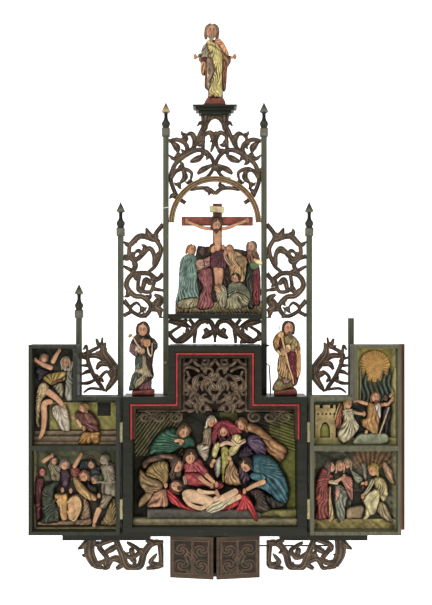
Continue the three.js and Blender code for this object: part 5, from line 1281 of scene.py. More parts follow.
left_lower_heads = [
    ((10, 72, 16), 20, {"hair": (84, 44, 46), "yaw": 10, "pitch": 4, "skin": (206, 128, 108)}),
    ((24, 85, 14), 20, {"hair": (108, 100, 84), "yaw": 30}),
    ((37, 81, 16), 27, {"hair": (128, 116, 110), "yaw": 24, "pitch": 16, "roll": 10}),
    ((61, 67, 22), 26, {"hair": (132, 88, 56), "yaw": -8, "pitch": 10, "roll": -6}),
    ((69.5, 81, 14), 22, {"hair": (62, 56, 50), "yaw": -20, "pitch": 8}),
    ((73.5, 62, 18), 21, {"hair": (128, 116, 104), "yaw": -40, "pitch": 14, "roll": -10}),
    ((85, 87, 15), 26, {"hair": (158, 150, 132), "yaw": -50, "pitch": 10, "skin": (168, 150, 122)}),
]
left_lower_hands = [(22, 93, 19), (57, 94, 18), (35, 50, 24), (45, 49, 24), (79, 43, 26), (73, 6, 24)]
carve("left_wing_lower_relief", "left_wing", 51, left_lower_cloths, left_lower_limbs, left_lower_heads,
      left_lower_hands, wing_scale, wing_cell, wing_knee, (left_lower_height, left_lower_colour))


right_upper_cloths = [
    # wing feathers
    ((168, 96, 66), 8, 6, (36, 42), 6, [(27, 21), (26, 27), (30, 35), (35, 43), (37, 40), (38, 32),
      (36, 24), (33, 16), (28, 16)]),
    # angel robe
    ((190, 176, 142), 14, 10, (44, 36), 8, [(36, 36), (44, 38), (49, 35), (50, 28), (56, 19), (53, 13),
      (48, 8), (44, 4), (37, 1), (31, 6), (31, 14), (37, 24), (36, 31)]),
    # angel sleeve
    ((196, 182, 146), 18, 6, (49, 35), 7, [(48, 36), (53, 35), (57, 33), (56, 31), (50, 31)]),
    # orange robe
    ((176, 130, 72), 14, 11, (74, 42), 8, [(66, 42), (72, 43), (78, 39), (82, 32), (80, 22), (78, 11),
      (74, 10), (66, 15), (59, 20), (59, 26), (65, 28)]),
    # undershirt
    ((206, 196, 178), 18, 6, (77, 42), 7, [(74, 42), (81, 43), (82, 35), (81, 27), (77, 31)]),
    # sleeve
    ((160, 110, 70), 18, 6, (82, 42), 7, [(81, 43), (89, 43), (91, 41), (82, 39)]),
    # dark figure
    ((52, 44, 48), 8, 7, (92, 46), 8, [(88, 46), (93, 45), (96, 32), (94, 25), (90, 11), (92, 4), (88, 4),
      (87, 18), (83, 25), (85, 36)]),
    # block
    ((146, 152, 122), 16, 3, (69, 7), 0, [(56, 10), (61, 11), (88, 11), (88, 1), (50, 0), (51, 6)]),
]


def castle_parts(u, v):
    """Castle wall, its notches and holes, and how far from the middle of its gate."""
    castle = (u > 3) & (u < 28) & (v > 6) & (v < 41)
    notches = (v > 37) & ((np.abs(u - 10.5) < 1.8) | (np.abs(u - 23) < 1.8))
    holes = (np.abs(v - 31) < 1.2) & (np.abs(((u - 4) % 5) - 2.5) < 0.8)
    return castle, notches | holes, np.hypot((u - 15) / 5.5, np.clip(v - 12, 0, 99) / 10)


def sky_parts(u, v):
    """Sun, its rays from 0 to 1, the flames under it and their licks from 0 to 1."""
    sun = np.hypot(u - 75, (v - 81) * 1.16) < 19
    rays = np.abs(np.sin(np.arctan2(v - 81, u - 75) * 16))
    tips = 74 + 6 * np.sin(u * 0.9) - 14 * np.exp(-((u - 75) / 9) ** 2)
    return sun, rays, (u > 57) & (v > 44) & (v < tips), np.abs(np.sin(u * 0.55 + 1.2 * np.sin(v * 0.22)))


def right_upper_height(u, v):
    """A castle on the left, and a tall sky with the sun over flames on the right."""
    wall = 4 + 0.6 * lumps(u, v, 0.3, 61)
    castle, dark, gate = castle_parts(u, v)
    wall = np.where(castle, 9 + 0.4 * lumps(u, v, 0.8, 62), wall)
    wall = np.where(castle & (dark | (gate < 1)), 5, wall)
    sun, rays, flames, licks = sky_parts(u, v)
    wall = np.where(sun, 6 + 1.2 * rays, wall)
    wall = np.where(flames, 8 + 4 * licks, wall)
    wall = np.where(v < 6, 10, wall)
    reveal = np.minimum(100 - u, u - 54)
    return wall + np.where((v > 44) | (u > 92), 9 * np.clip(1 - reveal / 5, 0, 1), 0)


def right_upper_colour(u, v):
    """An ochre castle with a green gate, a golden sky with sun and dark flames, pale edges."""
    pick = lumps(u, v, 0.3, 63)[..., None]
    base = rgb(58, 62, 46) * (1 + 0.3 * pick)
    base = np.where(((v > 41) & (u < 55))[..., None], rgb(92, 104, 76), base)
    castle, dark, gate = castle_parts(u, v)
    base = np.where(castle[..., None], rgb(178, 156, 100) * (1 + 0.12 * pick), base)
    base = np.where((castle & dark)[..., None], rgb(28, 22, 16), base)
    base = np.where((castle & (gate < 1.08) & (gate > 0.84))[..., None], rgb(52, 38, 22), base)
    base = np.where((castle & (gate <= 0.84))[..., None], rgb(148, 146, 62), base)
    sun, rays, flames, licks = [part[..., None] for part in sky_parts(u, v)]
    sky = ((v > 44) & (u > 55))[..., None]
    base = np.where(sky, rgb(182, 164, 66) * (0.75 + 0.3 * rays), base)
    base = np.where(sun, rgb(196, 148, 70) * (0.7 + 0.4 * rays), base)
    base = np.where(flames, rgb(40, 52, 46) + rgb(118, 128, 100) * np.clip(licks - 0.6, 0, 1), base)
    base = np.where((v < 6)[..., None], rgb(160, 152, 92) * (1 + 0.15 * pick), base)
    reveal = ((u > 95) & (v > 4)) | ((u < 58) & (u > 54) & (v > 46))
    return np.where(reveal[..., None], rgb(158, 150, 96), base)


right_upper_limbs = [
    (flesh, [(52, 33, 21), (57, 32, 22), (61, 32, 22)], [4, 3.6, 3], 0),
    (flesh, [(66, 42, 20), (58, 44, 20), (51, 46, 20)], [5, 4.2, 3.2], 0),
    (flesh, [(84, 42, 20), (90, 42, 20), (95, 47, 20)], [5, 4.2, 3.2], 0),
    ((186, 160, 130), [(91, 39, 24), (85, 24, 24), (79, 10, 24)], [2, 2, 2], 0),
    ((190, 170, 110), [(92, 49, 18), (95, 52, 18), (99, 54, 18)], [3.2, 4, 2], 4),
    (flesh, [(65, 15, 20), (63, 11, 21)], [4.5, 3.5], 0),
    ((190, 110, 76), [(28, 22, 12), (31, 32, 14), (35, 41, 12)], [2.4, 3, 2.4], 3),
    ((196, 176, 120), [(26, 24, 10), (29, 34, 11), (33, 43, 10)], [2, 2.6, 2], 3),
]
right_upper_heads = [
    ((42, 42, 18), 23, {"hair": (196, 164, 84), "yaw": 36, "pitch": 8}),
    ((75, 49, 19), 25, {"hair": (138, 96, 60), "beard": (120, 80, 50), "yaw": 4, "pitch": -2}),
    ((88, 48, 12), 17, {"hair": (54, 44, 44), "yaw": -20, "skin": (120, 96, 84)}),
]
right_upper_hands = [(61, 32, 23), (50, 46, 21), (96, 48, 21)]
carve("right_wing_upper_relief", "right_wing", 71, right_upper_cloths, right_upper_limbs, right_upper_heads,
      right_upper_hands, wing_scale, wing_cell, wing_knee, (right_upper_height, right_upper_colour),
      wing_keep("right_wing_upper_relief"))


right_lower_cloths = [
    # red mantle
    ((138, 62, 54), 14, 12, (22, 66), 8, [(11, 76), (17, 75), (23, 69), (25, 66), (19, 60), (18, 53),
      (21, 50), (19, 43), (18, 32), (18, 23), (21, 17), (14, 13), (3, 13), (5, 26), (2, 40), (3, 56),
      (7, 67)]),
    # cream robe
    ((196, 164, 116), 12, 8, (21, 55), 8, [(19, 52), (22, 53), (22, 43), (23, 32), (25, 23), (26, 14),
      (21, 10), (18, 18), (18, 32)]),
    # grey robe
    ((126, 130, 112), 14, 11, (31, 60), 7, [(26, 55), (34, 56), (41, 47), (42, 38), (39, 29), (39, 17),
      (36, 10), (31, 10), (27, 26), (26, 35), (27, 47)]),
    # pink sleeve
    ((190, 122, 102), 18, 8, (38, 66), 8, [(34, 63), (41, 67), (47, 63), (48, 50), (48, 38), (45, 37),
      (41, 46), (38, 53)]),
    # pink front
    ((196, 146, 124), 20, 5, (28, 52), 6, [(27, 52), (33, 53), (32, 43), (27, 35)]),
    # third robe
    ((150, 150, 126), 8, 9, (45, 76), 8, [(45, 76), (50, 72), (57, 67), (62, 61), (56, 56), (51, 60),
      (48, 66)]),
    # dark drape
    ((94, 70, 56), 8, 7, (58, 60), 8, [(56, 58), (62, 60), (65, 52), (64, 48), (58, 50)]),
    # angel back
    ((178, 162, 110), 14, 12, (79, 66), 8, [(73, 63), (80, 66), (88, 60), (91, 46), (88, 37), (84, 34),
      (79, 43), (75, 52)]),
    # angel skirt
    ((194, 180, 132), 18, 12, (77, 49), 8, [(61, 41), (70, 49), (79, 50), (81, 43), (79, 34), (75, 20),
      (70, 18), (65, 14), (60, 13), (64, 26), (61, 34)]),
    # angel fall
    ((168, 150, 110), 12, 9, (80, 35), 8, [(80, 36), (89, 30), (92, 24), (96, 10), (91, 9), (85, 13),
      (78, 21), (77, 28)]),
    # wing right
    ((190, 150, 112), 8, 7, (87, 82), 6, [(84, 81), (88, 84), (92, 79), (98, 70), (100, 56), (96, 56),
      (90, 63), (87, 70)]),
    # wing left
    ((120, 112, 98), 6, 6, (62, 82), 6, [(58, 82), (64, 83), (66, 76), (67, 66), (64, 60), (61, 66),
      (60, 75)]),
    # slab
    ((138, 118, 88), 10, 6, (50, -6), 0, [(41, 24), (50, 28), (62, 28), (60, 14), (50, 13), (41, 13)]),
]


def right_lower_height(u, v):
    """Rock with a cave and rays cut behind the seated figure, an edge on three sides."""
    rock = 6 + 2 * lumps(u, v, 0.2, 81) + 1.6 * np.abs(np.sin(np.arctan2(v - 60, u - 70) * 18)) * (v > 75)
    rock = np.where(v < 12, 11 + 1.6 * lumps(u, v, 0.35, 82), rock)
    cave = (np.abs(u - 55) < 8) & (v > 28) & (v < 46)
    rim = np.minimum.reduce([u, 100 - u, 100 - v])
    return np.where(cave, 3, rock) + 9 * np.clip(1 - rim / 4, 0, 1)


def right_lower_colour(u, v):
    """Grey rock with brown rays and a dark cave, pale ground, a grey green edge."""
    pick = lumps(u, v, 0.2, 83)[..., None]
    base = rgb(78, 78, 60) * (1 + 0.4 * pick)
    ray = np.abs(np.sin(np.arctan2(v - 60, u - 70) * 18))[..., None]
    base = np.where(((v > 76) & (u > 50))[..., None], rgb(120, 88, 58) * (0.5 + 0.7 * ray), base)
    base = np.where(((np.abs(u - 55) < 8) & (v > 28) & (v < 46))[..., None], rgb(44, 44, 34), base)
    base = np.where(((u > 84) & (v < 40))[..., None], rgb(120, 122, 98) * (1 + 0.3 * pick), base)
    base = np.where((v < 12)[..., None], rgb(164, 148, 88) * (1 + 0.3 * pick), base)
    rim = np.minimum.reduce([u, 100 - u, 100 - v])[..., None]
    return np.where(rim < 4, rgb(128, 128, 96), base)


right_lower_limbs = [
    (flesh, [(18, 60, 22), (26, 60, 24), (36, 66, 23)], [4.6, 4.2, 3.2], 0),
    ((196, 184, 150), [(20, 61, 23), (25, 59, 25), (30, 59, 24)], [4.6, 5, 4.4], 4),
    (flesh, [(58, 57, 16), (63, 58, 17)], [4, 3.4], 0),
    ((186, 176, 140), [(72, 63, 22), (68, 54, 24), (62, 45, 24)], [6, 5.4, 4], 5),
    (flesh, [(62, 45, 25), (59, 44, 26), (60, 41, 26)], [3.6, 3.2, 3], 0),
    (flesh, [(19, 13, 18), (22, 10, 20)], [3.6, 3], 0),
    (flesh, [(33, 12, 18), (36, 9, 20)], [3.6, 3], 0),
]
right_lower_heads = [
    ((20.5, 78, 17), 27, {"hood": (112, 92, 84), "yaw": 60, "pitch": 10}),
    ((32.5, 79, 18), 25, {"hood": (176, 142, 118), "yaw": 10, "pitch": 10}),
    ((41.5, 82, 14), 24, {"hood": (158, 148, 120), "yaw": 4, "pitch": 12}),
    ((72.5, 74, 18), 29, {"hair": (204, 170, 80), "yaw": -50, "pitch": 12, "roll": -8}),
]
right_lower_hands = [(37, 67, 25), (35, 64, 25), (64, 58, 19), (59, 42, 28)]
carve("right_wing_lower_relief", "right_wing", 91, right_lower_cloths, right_lower_limbs, right_lower_heads,
      right_lower_hands, wing_scale, wing_cell, wing_knee, (right_lower_height, right_lower_colour))


# Crucifixion group under the crest
# One carved and painted piece of lime wood on the shelf: the cross with its figure, mourners on both
# sides and a rocky foot, sawn out around them.

crucifixion_cloths = [
    # post of the cross
    ((116, 58, 42), 5, 3, (48, 105), 0, [(43, 101), (43, 101), (54, 101), (54, 101), (54, 12), (54, 12),
      (43, 12), (43, 12)]),
    # beam
    ((132, 64, 46), 8, 3, (48, 12), 0, [(7, 88), (7, 88), (90, 88), (90, 88), (90, 80), (90, 80), (7, 80),
      (7, 80)]),
    # plaque
    ((208, 192, 142), 11, 2, (48, 136), 0, [(39, 98), (39, 98), (57, 97), (57, 97), (56, 91), (56, 91),
      (40, 92), (40, 92)]),
    # dark backs
    ((62, 44, 36), 7, 8, (48, 74), 6, [(24, 57), (34, 61), (60, 60), (83, 57), (94, 50), (94, 8), (24, 7)]),
    # ground
    ((134, 118, 80), 15, 9, (50, 58), 6, [(0, 0), (0, 0), (0, 9), (14, 13), (34, 8), (54, 12), (86, 8),
      (100, 12), (100, 0), (100, 0)]),
    # teal mantle
    ((116, 142, 132), 9, 15, (19, 67), 6, [(13, 54), (23, 53), (28, 43), (26, 29), (28, 12), (16, 7),
      (0, 8), (3, 22), (4, 38), (6, 49)]),
    # pale hem
    ((160, 148, 114), 16, 7, (14, 27), 5, [(4, 12), (24, 15), (28, 7), (6, 4)]),
    # rose robe
    ((148, 84, 86), 13, 12, (34, 54), 5, [(27, 40), (40, 42), (44, 30), (42, 18), (44, 6), (26, 4),
      (28, 16), (32, 24), (26, 33)]),
    # mauve sleeve
    ((166, 112, 108), 20, 7, (20, 44), 5, [(23, 46), (32, 49), (44, 54), (56, 60), (59, 57), (48, 48),
      (38, 42), (26, 39)]),
    # beige sleeve
    ((178, 142, 118), 20, 5, (20, 44), 5, [(23, 47), (32, 49), (34, 42), (26, 39)]),
    # loincloth
    ((96, 50, 60), 18, 8, (50, 61), 4, [(43, 55), (59, 57), (59, 42), (50, 41), (41, 42), (40, 49)]),
    # tan mantle
    ((192, 156, 108), 13, 10, (66, 64), 5, [(60, 56), (68, 57), (79, 52), (81, 41), (79, 29), (66, 29),
      (62, 43)]),
    # striped sleeve
    ((150, 122, 82), 21, 6, (74, 58), 4, [(68, 50), (80, 52), (86, 43), (82, 34), (74, 43)]),
    # dark green robe
    ((58, 64, 52), 12, 8, (86, 50), 5, [(82, 44), (92, 44), (92, 8), (83, 8)]),
    # red robe
    ((118, 42, 48), 14, 9, (94, 61), 4, [(90, 43), (97, 44), (99, 27), (98, 9), (90, 9), (89, 27)]),
    # brown shoulders
    ((132, 86, 66), 18, 8, (89, 64), 5, [(83, 56), (94, 57), (98, 48), (92, 44), (84, 45)]),
    # green sleeve
    ((84, 106, 70), 24, 4, (86, 49), 0, [(86, 46), (96, 46), (96, 41), (88, 40)]),
    # cream scroll
    ((226, 204, 144), 26, 3, (94, 58), 0, [(90, 50), (101, 47), (101, 44), (93, 45)]),
    # kneeling back
    ((118, 120, 98), 17, 9, (78, 33), 5, [(62, 27), (74, 29), (85, 22), (87, 12), (82, 8), (68, 8),
      (60, 15)]),
    # kneeling skirt
    ((150, 142, 108), 20, 8, (68, 26), 5, [(58, 12), (68, 19), (78, 18), (86, 12), (78, 5), (58, 4)]),
    # kneeling sleeve
    ((172, 164, 134), 22, 7, (54, 29), 5, [(47, 24), (56, 26), (60, 19), (59, 10), (54, 5), (48, 12)]),
]
crux_limbs = [
    (flesh, [(48.5, 76, 17), (49, 70.1, 18), (49, 63.1, 17), (49, 56.2, 15)], [8, 11, 9, 8], 0),
    (flesh, [(44, 76.5, 16), (32.8, 77.6, 14), (22, 80.6, 13), (13.4, 83.5, 13)], [4.6, 4.4, 3.6, 3.2], 0),
    (flesh, [(53, 76.5, 16), (62.5, 78, 14), (74.2, 81.8, 13), (83.2, 84.5, 13)], [4.6, 4.4, 3.6, 3.2], 0),
    (flesh, [(46.8, 43.3, 15), (48.1, 34.4, 18), (48.1, 27.5, 15), (49.9, 22.5, 14)], [8, 6.6, 5, 4.4], 0),
    (flesh, [(51.7, 43.3, 15), (52.6, 34.4, 18), (51.7, 27.5, 15), (51.7, 22.5, 14)], [7.5, 6.4, 5, 4.4], 0),
    ((88, 70, 52), [(42.7, 82, 17), (43.6, 86.9, 15), (48.1, 88.9, 14), (52.6, 86.9, 15), (53.5, 82, 17)],
     [3, 3.4, 3.4, 3.4, 3], 4),
    ((178, 142, 118), [(55.3, 56.2, 20), (59.8, 47.3, 24), (65.2, 42.3, 24)], [3.6, 4.4, 3.4], 4),
]
crux_heads = [
    ((47.7, 80.2, 22), 27, {"hair": (105, 76, 50), "beard": (90, 66, 48), "yaw": 14, "pitch": 18,
      "roll": 10}),
    ((18, 57.7, 16), 25, {"hair": (156, 112, 64), "yaw": 30, "pitch": -12, "roll": 12}),
    ((30.7, 56.7, 11), 22, {"hair": (48, 42, 40), "yaw": 24, "skin": (96, 78, 66)}),
    ((44, 58.8, 16), 22, {"hair": (105, 78, 54), "yaw": 34, "roll": 14}),
    ((62.5, 57.2, 16), 25, {"hood": (176, 136, 96), "yaw": -30, "pitch": 14, "roll": -14}),
    ((88.5, 60.2, 14), 27, {"hood": (128, 122, 106), "beard": (150, 128, 108), "yaw": -30, "pitch": 4}),
    ((69.7, 32.4, 18), 24, {"hair": (54, 50, 44), "yaw": -20, "pitch": 24, "roll": 10}),
    ((49.9, 22.5, 22), 21, {"hair": (150, 126, 92), "yaw": -60, "pitch": -10, "roll": -20}),
]
crux_hands = [
    (13, 83.9, 14), (83.6, 84.5, 14), (58, 55.2, 24), (55.3, 60.2, 22), (66.1, 41.3, 26), (50.8, 15.6, 24),
    (90.3, 47.3, 22),
]
carve("crucifixion_group", "altar", 101, crucifixion_cloths, crux_limbs, crux_heads, crux_hands,
      0.95, 0.9, 22)


# Three statues
# Carved lime wood figures on their own small blocks: one on top with spread arms, one on each shoulder
# of the shrine. The saints are glued to the shoulders; gold, rose and ochre paint over a dark ground.

def statue(node, cloths, limbs, heads, hands, seed, scale=1.0):
    """A figure as two reliefs back to back, the rear one smoother and flatter, in the room of its solid."""
    low, high = bounds_of(node)
    middle = (low[1] + high[1]) / 2 / mm
    field = Field(low[0] / mm, high[0] / mm, low[2] / mm, high[2] / mm, middle, 0.7, 20.0)
    field.height[:] = -1
    for number, (colour, base, bulge, focus, spacing, points) in enumerate(cloths):
        field.cloth(colour, base * 0.62, bulge * 0.7, focus, spacing, points, seed + 3 * number)
    depth = (high[1] - low[1]) / 2 / mm
    parts = figures(field, heads, hands, limbs, scale)
    show_carving(node, field, parts, "altar", 0.8 * depth, field.height > 0, 0.8, None)


top_statue_cloths = [
    # socle
    ((132, 66, 52), 12, 10, (51, 9), 0, [(26, 0), (26, 4), (30, 8), (35, 10), (66, 10), (73, 6), (75, 2),
      (75, 0)]),
    # mantle
    ((176, 132, 88), 4, 22, (51, 94), 6, [(29, 77), (35, 81), (44, 82), (58, 82), (68, 78), (74, 73),
      (80, 64), (87, 58), (85, 53), (79, 48), (78, 40), (75, 21), (68, 20), (67, 10), (35, 10), (34, 19),
      (26, 24), (26, 38), (20, 39), (17, 45), (18, 53), (12, 58), (18, 64), (21, 71), (26, 76)]),
    # red-brown fall
    ((140, 84, 54), 15, 8, (74, 86), 5, [(67, 56), (76, 53), (79, 48), (78, 40), (75, 21), (68, 20),
      (66, 37)]),
    # under sleeve
    ((150, 140, 114), 18, 8, (29, 80), 6, [(21, 72), (29, 76), (35, 73), (37, 64), (35, 58), (22, 55),
      (17, 60)]),
    # dark sash
    ((104, 44, 42), 20, 5, (22, 64), 5, [(19, 58), (32, 59), (35, 53), (22, 51)]),
    # orange fold
    ((216, 158, 108), 18, 6, (27, 64), 5, [(18, 53), (28, 54), (29, 49), (26, 42), (23, 38), (18, 41),
      (17, 46)]),
    # grey-brown dress
    ((156, 132, 108), 20, 7, (39, 73), 5, [(32, 58), (42, 58), (48, 48), (49, 40), (42, 31), (38, 19),
      (29, 24), (28, 37), (29, 51)]),
    # brown edge
    ((138, 84, 50), 22, 4, (32, 72), 4, [(27, 51), (31, 51), (32, 37), (30, 25), (26, 24), (27, 38)]),
    # gold robe
    ((210, 192, 120), 23, 11, (54, 92), 6, [(32, 76), (42, 74), (54, 72), (65, 67), (68, 58), (67, 44),
      (67, 30), (67, 11), (58, 10), (51, 12), (46, 12), (36, 13), (39, 24), (46, 37), (50, 45), (45, 53),
      (38, 63), (34, 70)]),
    # orange shoulder
    ((218, 152, 100), 26, 7, (80, 88), 7, [(49, 78), (58, 82), (68, 78), (74, 73), (82, 63), (78, 60),
      (67, 66), (58, 71), (49, 74)]),
    # collar
    ((204, 176, 120), 31, 4, (18, 92), 6, [(30, 77), (37, 80), (45, 77), (58, 74), (67, 67), (58, 67),
      (47, 72), (35, 74)]),
]
statue("top_statue", top_statue_cloths, [
    ((84, 60, 46), [(80, 60, 12), (86, 57, 14)], [6, 5], 4),
    (flesh, [(85, 58, 14), (93, 58.5, 17)], [3.4, 2.8], 0),
    ((96, 84, 66), [(20, 63, 12), (13, 59, 14)], [6, 4.6], 4),
    (flesh, [(13, 58.6, 14), (6, 58.8, 17)], [3.2, 2.8], 0),
    (flesh, [(40, 13, 16), (39, 10, 20)], [3, 3.2], 0),
    (flesh, [(51, 13, 16), (52, 10, 20)], [3, 3.2], 0),
], [
    ((42.5, 90, 13), 33, {"hair": (150, 128, 98), "beard": (176, 146, 118), "yaw": 4, "roll": 3}),
], [(5, 58.8, 18), (95, 59, 18)], 201)
left_saint_cloths = [
    # block
    ((122, 56, 44), 14, 7, (48, 19), 0, [(11, 0), (11, 0), (11, 6), (11, 6), (35, 8), (74, 9), (90, 8),
      (90, 8), (90, 0), (90, 0)]),
    # mantle
    ((60, 62, 52), 2, 20, (44, 91), 6, [(26, 83), (39, 85), (64, 85), (81, 78), (99, 70), (101, 64),
      (92, 60), (85, 53), (80, 51), (83, 39), (88, 26), (80, 20), (79, 12), (74, 8), (2, 6), (-1, 8),
      (9, 26), (21, 32), (22, 51), (4, 58), (2, 61), (5, 70), (11, 76)]),
    # mauve sleeve
    ((138, 98, 104), 14, 9, (30, 75), 5, [(5, 70), (21, 71), (34, 67), (35, 56), (23, 52), (4, 58),
      (1, 60)]),
    # green skirt
    ((86, 96, 84), 16, 8, (39, 67), 6, [(23, 52), (50, 53), (50, 39), (30, 12), (2, 7), (-1, 8), (11, 27),
      (21, 34)]),
    # dark side
    ((66, 38, 32), 17, 6, (74, 74), 5, [(62, 64), (80, 67), (90, 63), (87, 54), (82, 39), (78, 22),
      (64, 29), (62, 46)]),
    # beige mantle
    ((176, 156, 120), 20, 6, (53, 60), 5, [(48, 55), (62, 52), (64, 42), (78, 31), (85, 26), (74, 25),
      (64, 24), (44, 15), (23, 10), (25, 20), (46, 28), (23, 32), (26, 36), (44, 37), (47, 42)]),
    # mauve hem
    ((142, 86, 92), 12, 6, (60, 39), 4, [(34, 8), (44, 15), (57, 19), (78, 20), (79, 12), (74, 8)]),
    # collar
    ((96, 82, 54), 20, 5, (48, 91), 5, [(21, 78), (28, 83), (41, 84), (48, 78), (39, 70), (26, 72)]),
    # mauve chest
    ((154, 104, 98), 22, 5, (53, 87), 5, [(41, 77), (57, 78), (64, 74), (57, 67), (46, 67)]),
    # sleeve end
    ((80, 68, 56), 18, 6, (74, 70), 4, [(81, 77), (90, 76), (100, 70), (101, 64), (92, 61), (83, 67)]),
    # box
    ((206, 146, 94), 28, 5, (66, 74), 0, [(51, 75), (74, 76), (78, 70), (71, 66), (55, 67)]),
    # cream band
    ((230, 212, 180), 26, 4, (71, 67), 0, [(64, 65), (69, 66), (74, 58), (80, 56), (80, 70), (85, 70),
      (85, 58), (82, 54), (78, 52), (67, 57)]),
]
statue("left_saint", left_saint_cloths, [
    ((206, 168, 86), [(12, 83, 12), (4, 80, 14), (-1, 78.5, 14)], [3.2, 4.2, 1.2], 4),
    ((226, 190, 146), [(14, 81, 16), (30, 70, 20), (52, 60, 23)], [1.6, 1.8, 1.6], 0),
    ((214, 196, 164), [(26, 60, 19), (30, 66, 21), (38, 58, 20)], [3, 3.4, 3], 4),
    (flesh, [(40, 62, 20), (46, 60, 22)], [3.4, 3], 0),
], [
    ((50.5, 89.5, 14), 34, {"hair": (78, 62, 50), "yaw": -4, "pitch": 8, "roll": 6}),
], [(47, 60, 24), (53, 60.5, 23), (66, 71, 24)], 231, 0.9)
right_saint_cloths = [
    # block
    ((120, 58, 44), 14, 7, (43, 18), 0, [(6, 0), (6, 0), (7, 6), (34, 9), (74, 11), (86, 6), (87, 0),
      (87, 0)]),
    # mantle
    ((186, 146, 94), 2, 20, (52, 92), 7, [(26, 86), (40, 86), (59, 84), (80, 79), (95, 71), (100, 62),
      (98, 34), (96, 28), (88, 16), (77, 12), (70, 9), (3, 6), (0, 10), (17, 22), (20, 30), (16, 34),
      (22, 49), (23, 56), (12, 59), (4, 64), (1, 73), (10, 81)]),
    # brown sleeve
    ((178, 128, 72), 16, 9, (22, 89), 6, [(10, 80), (26, 86), (33, 79), (33, 68), (24, 63), (8, 65),
      (1, 72)]),
    # maroon lining
    ((88, 38, 32), 19, 5, (27, 79), 4, [(24, 76), (32, 77), (34, 65), (24, 63), (20, 65)]),
    # maroon dress
    ((124, 42, 50), 15, 8, (66, 72), 5, [(56, 59), (77, 59), (82, 55), (86, 26), (89, 18), (77, 13),
      (66, 25), (58, 32), (52, 45)]),
    # tan skirt
    ((194, 154, 102), 18, 8, (38, 75), 6, [(23, 53), (50, 53), (54, 38), (56, 26), (45, 23), (34, 25),
      (24, 28), (17, 34)]),
    # orange fall
    ((210, 156, 92), 18, 6, (91, 86), 6, [(83, 56), (96, 63), (99, 55), (99, 34), (95, 27), (84, 25),
      (82, 38)]),
    # crossed mantle
    ((166, 144, 94), 20, 6, (74, 92), 5, [(42, 81), (65, 81), (80, 77), (89, 69), (77, 64), (59, 67),
      (43, 69)]),
    # cream drape
    ((228, 202, 138), 26, 5, (40, 72), 5, [(45, 68), (58, 69), (64, 64), (58, 59), (45, 57), (27, 54),
      (12, 59), (17, 62), (34, 59), (42, 63)]),
    # olive drape
    ((134, 114, 70), 17, 8, (40, 35), 5, [(1, 12), (13, 20), (26, 23), (38, 19), (56, 19), (70, 24),
      (77, 18), (76, 13), (52, 10), (34, 7), (4, 6)]),
    # mauve fold
    ((150, 108, 108), 25, 4, (45, 38), 4, [(33, 23), (52, 22), (59, 26), (56, 18), (40, 17)]),
    # hood on the shoulder
    ((204, 156, 106), 24, 6, (27, 91), 5, [(15, 81), (25, 86), (38, 86), (39, 80), (27, 78)]),
]
statue("right_saint", right_saint_cloths, [
    ((228, 178, 132),
     [(22, 96, 8), (28, 84, 13), (34, 73, 20), (43, 60, 24), (57, 38, 24), (68, 25, 22), (72.5, 16, 18)],
     [1.0, 1.4, 1.8, 1.9, 1.9, 1.8, 1.6], 0),
    (flesh, [(30, 60, 20), (40, 60, 24)], [3.4, 3], 0),
], [
    ((54, 91, 14), 33, {"hair": (76, 56, 46), "beard": (112, 88, 74), "yaw": 12, "roll": -4}),
], [(41, 60, 25), (35, 57, 24), (70, 66, 20), (50, 62, 24)], 261, 0.9)


# Carved faces of the tabernacle doors
# Plain doors with two sunk panels each; scrolls like the brackets' are cut from the ground of the
# panels, so they lie below the border. The doors hang a little open and turn on pins at the box's front.

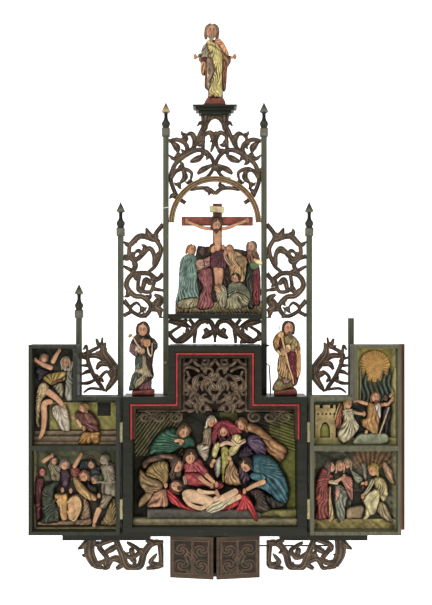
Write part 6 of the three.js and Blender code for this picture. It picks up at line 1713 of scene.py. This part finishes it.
def door_carving(side):
    """The two panels of a door: spirals, veins between them and a plain border, over a grid on its front."""
    node = f"{side}_tabernacle_door"
    hand = -1 if side == "left" else 1
    low, high = bounds_of(node)
    across, tall, ajar = 98.0, (high[2] - low[2]) / mm, np.radians(9.0)
    foot_rail, top_rail = 10, 9
    x = np.linspace(6, across - 5, 100)
    z = np.linspace(foot_rail, tall - top_rail, 84)
    x, z = np.meshgrid(x, z)
    u, v = x / across, (z - foot_rail) / (tall - foot_rail - top_rail)
    # The tone follows the height: painted shade on the sunk ground, painted highlights on the spirals'
    # ridges, their bosses and the veins; the flat border pale.
    height = np.full(x.shape, -1.6)
    tone = np.full(x.shape, 0.24)
    spirals = [(0.28, 0.7, 0.2, 1), (0.3, 0.28, 0.2, -1), (0.76, 0.72, 0.19, -1), (0.74, 0.27, 0.2, 1)]
    for at, foot, radius, sense in spirals:
        dx, dz = (u - at), (v - foot) * tall / across
        reach, turn = np.hypot(dx, dz), np.arctan2(dz, dx)
        ridge = np.abs(np.sin(1.5 * turn * sense + reach * 34))
        inside = np.clip((radius - reach) / 0.03, 0, 1)
        boss = np.exp(-(reach / 0.035) ** 2)
        height += inside * (1.3 * ridge + 1.2 * boss)
        tone += inside * (0.75 * ridge**2 + 0.3 * boss - 0.1)
    veins = np.abs(np.sin(34 * (u + 0.55 * v) + 2 * np.sin(9 * v)))
    between = (np.hypot(u - 0.5, (v - 0.5) * 0.8) < 0.16) | ((v < 0.14) & (u > 0.4))
    height += between * 1.2 * veins
    tone += between * 0.7 * veins**2
    border = (np.minimum.reduce([u - 0.06, 0.94 - u, v, 1 - v]) < 0.03) | (np.abs(u - 0.53) < 0.018)
    height = np.where(border, 0.0, height)
    tone = np.where(border, 0.9, tone)
    patches = 0.25 * lumps(60 * u, 60 * v, 0.12, 5)[..., None] * rgb(110, 60, 40)
    tint = tone[..., None] * (rgb(104, 84, 64) + patches)
    hinge_x, hinge_y = hand * 103.0 * mm, -60.3 * mm + 4 * mm
    door_front = 9.6
    aside, forth = -hand * x * mm, -(door_front + height) * mm
    turn = hand * ajar
    points = np.stack([
        hinge_x + aside * np.cos(turn) - forth * np.sin(turn),
        hinge_y + aside * np.sin(turn) + forth * np.cos(turn),
        low[2] + z * mm,
    ], -1)
    faces = grid_faces(*x.shape) if hand > 0 else grid_faces(*x.shape)[:, ::-1]
    return new_object(f"{side}_door_carving", points, faces, carved_wood, tint)


door_brown = painted_board("door stain", (74, 60, 46), (110, 90, 68), "x", 0.55, 0.68)
for side in ["left", "right"]:
    soften(f"{side}_tabernacle_door", 0.0007, door_brown)
    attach(door_carving(side), f"{side}_door")


# Old crack in the left main post
# The post has split across and been glued; the bare wood shows as a pale slanting line on three sides.

low, high = bounds_of("left_main_post")
edge = 0.15 * mm                         # how far the line stands off the post
crack_height, crack_slant, half_crack = 601.5 * mm, 0.16, 0.9 * mm
crack_x = np.array([low[0] - edge, low[0] - edge, low[0] - edge, high[0] + edge, high[0] + edge])
crack_y = np.array([high[1], low[1] + 0.4 * mm, low[1] - edge, low[1] - edge, high[1]])
crack_z = crack_height + crack_slant * (crack_x - low[0])
crack = np.stack([np.stack([crack_x, crack_y, crack_z + lift], -1) for lift in (-half_crack, half_crack)])
bare_wood = plain("bare wood", (226, 222, 206), 0.7)
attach(new_object("post_crack", crack, grid_faces(2, 5), bare_wood, smooth=False), "altar")
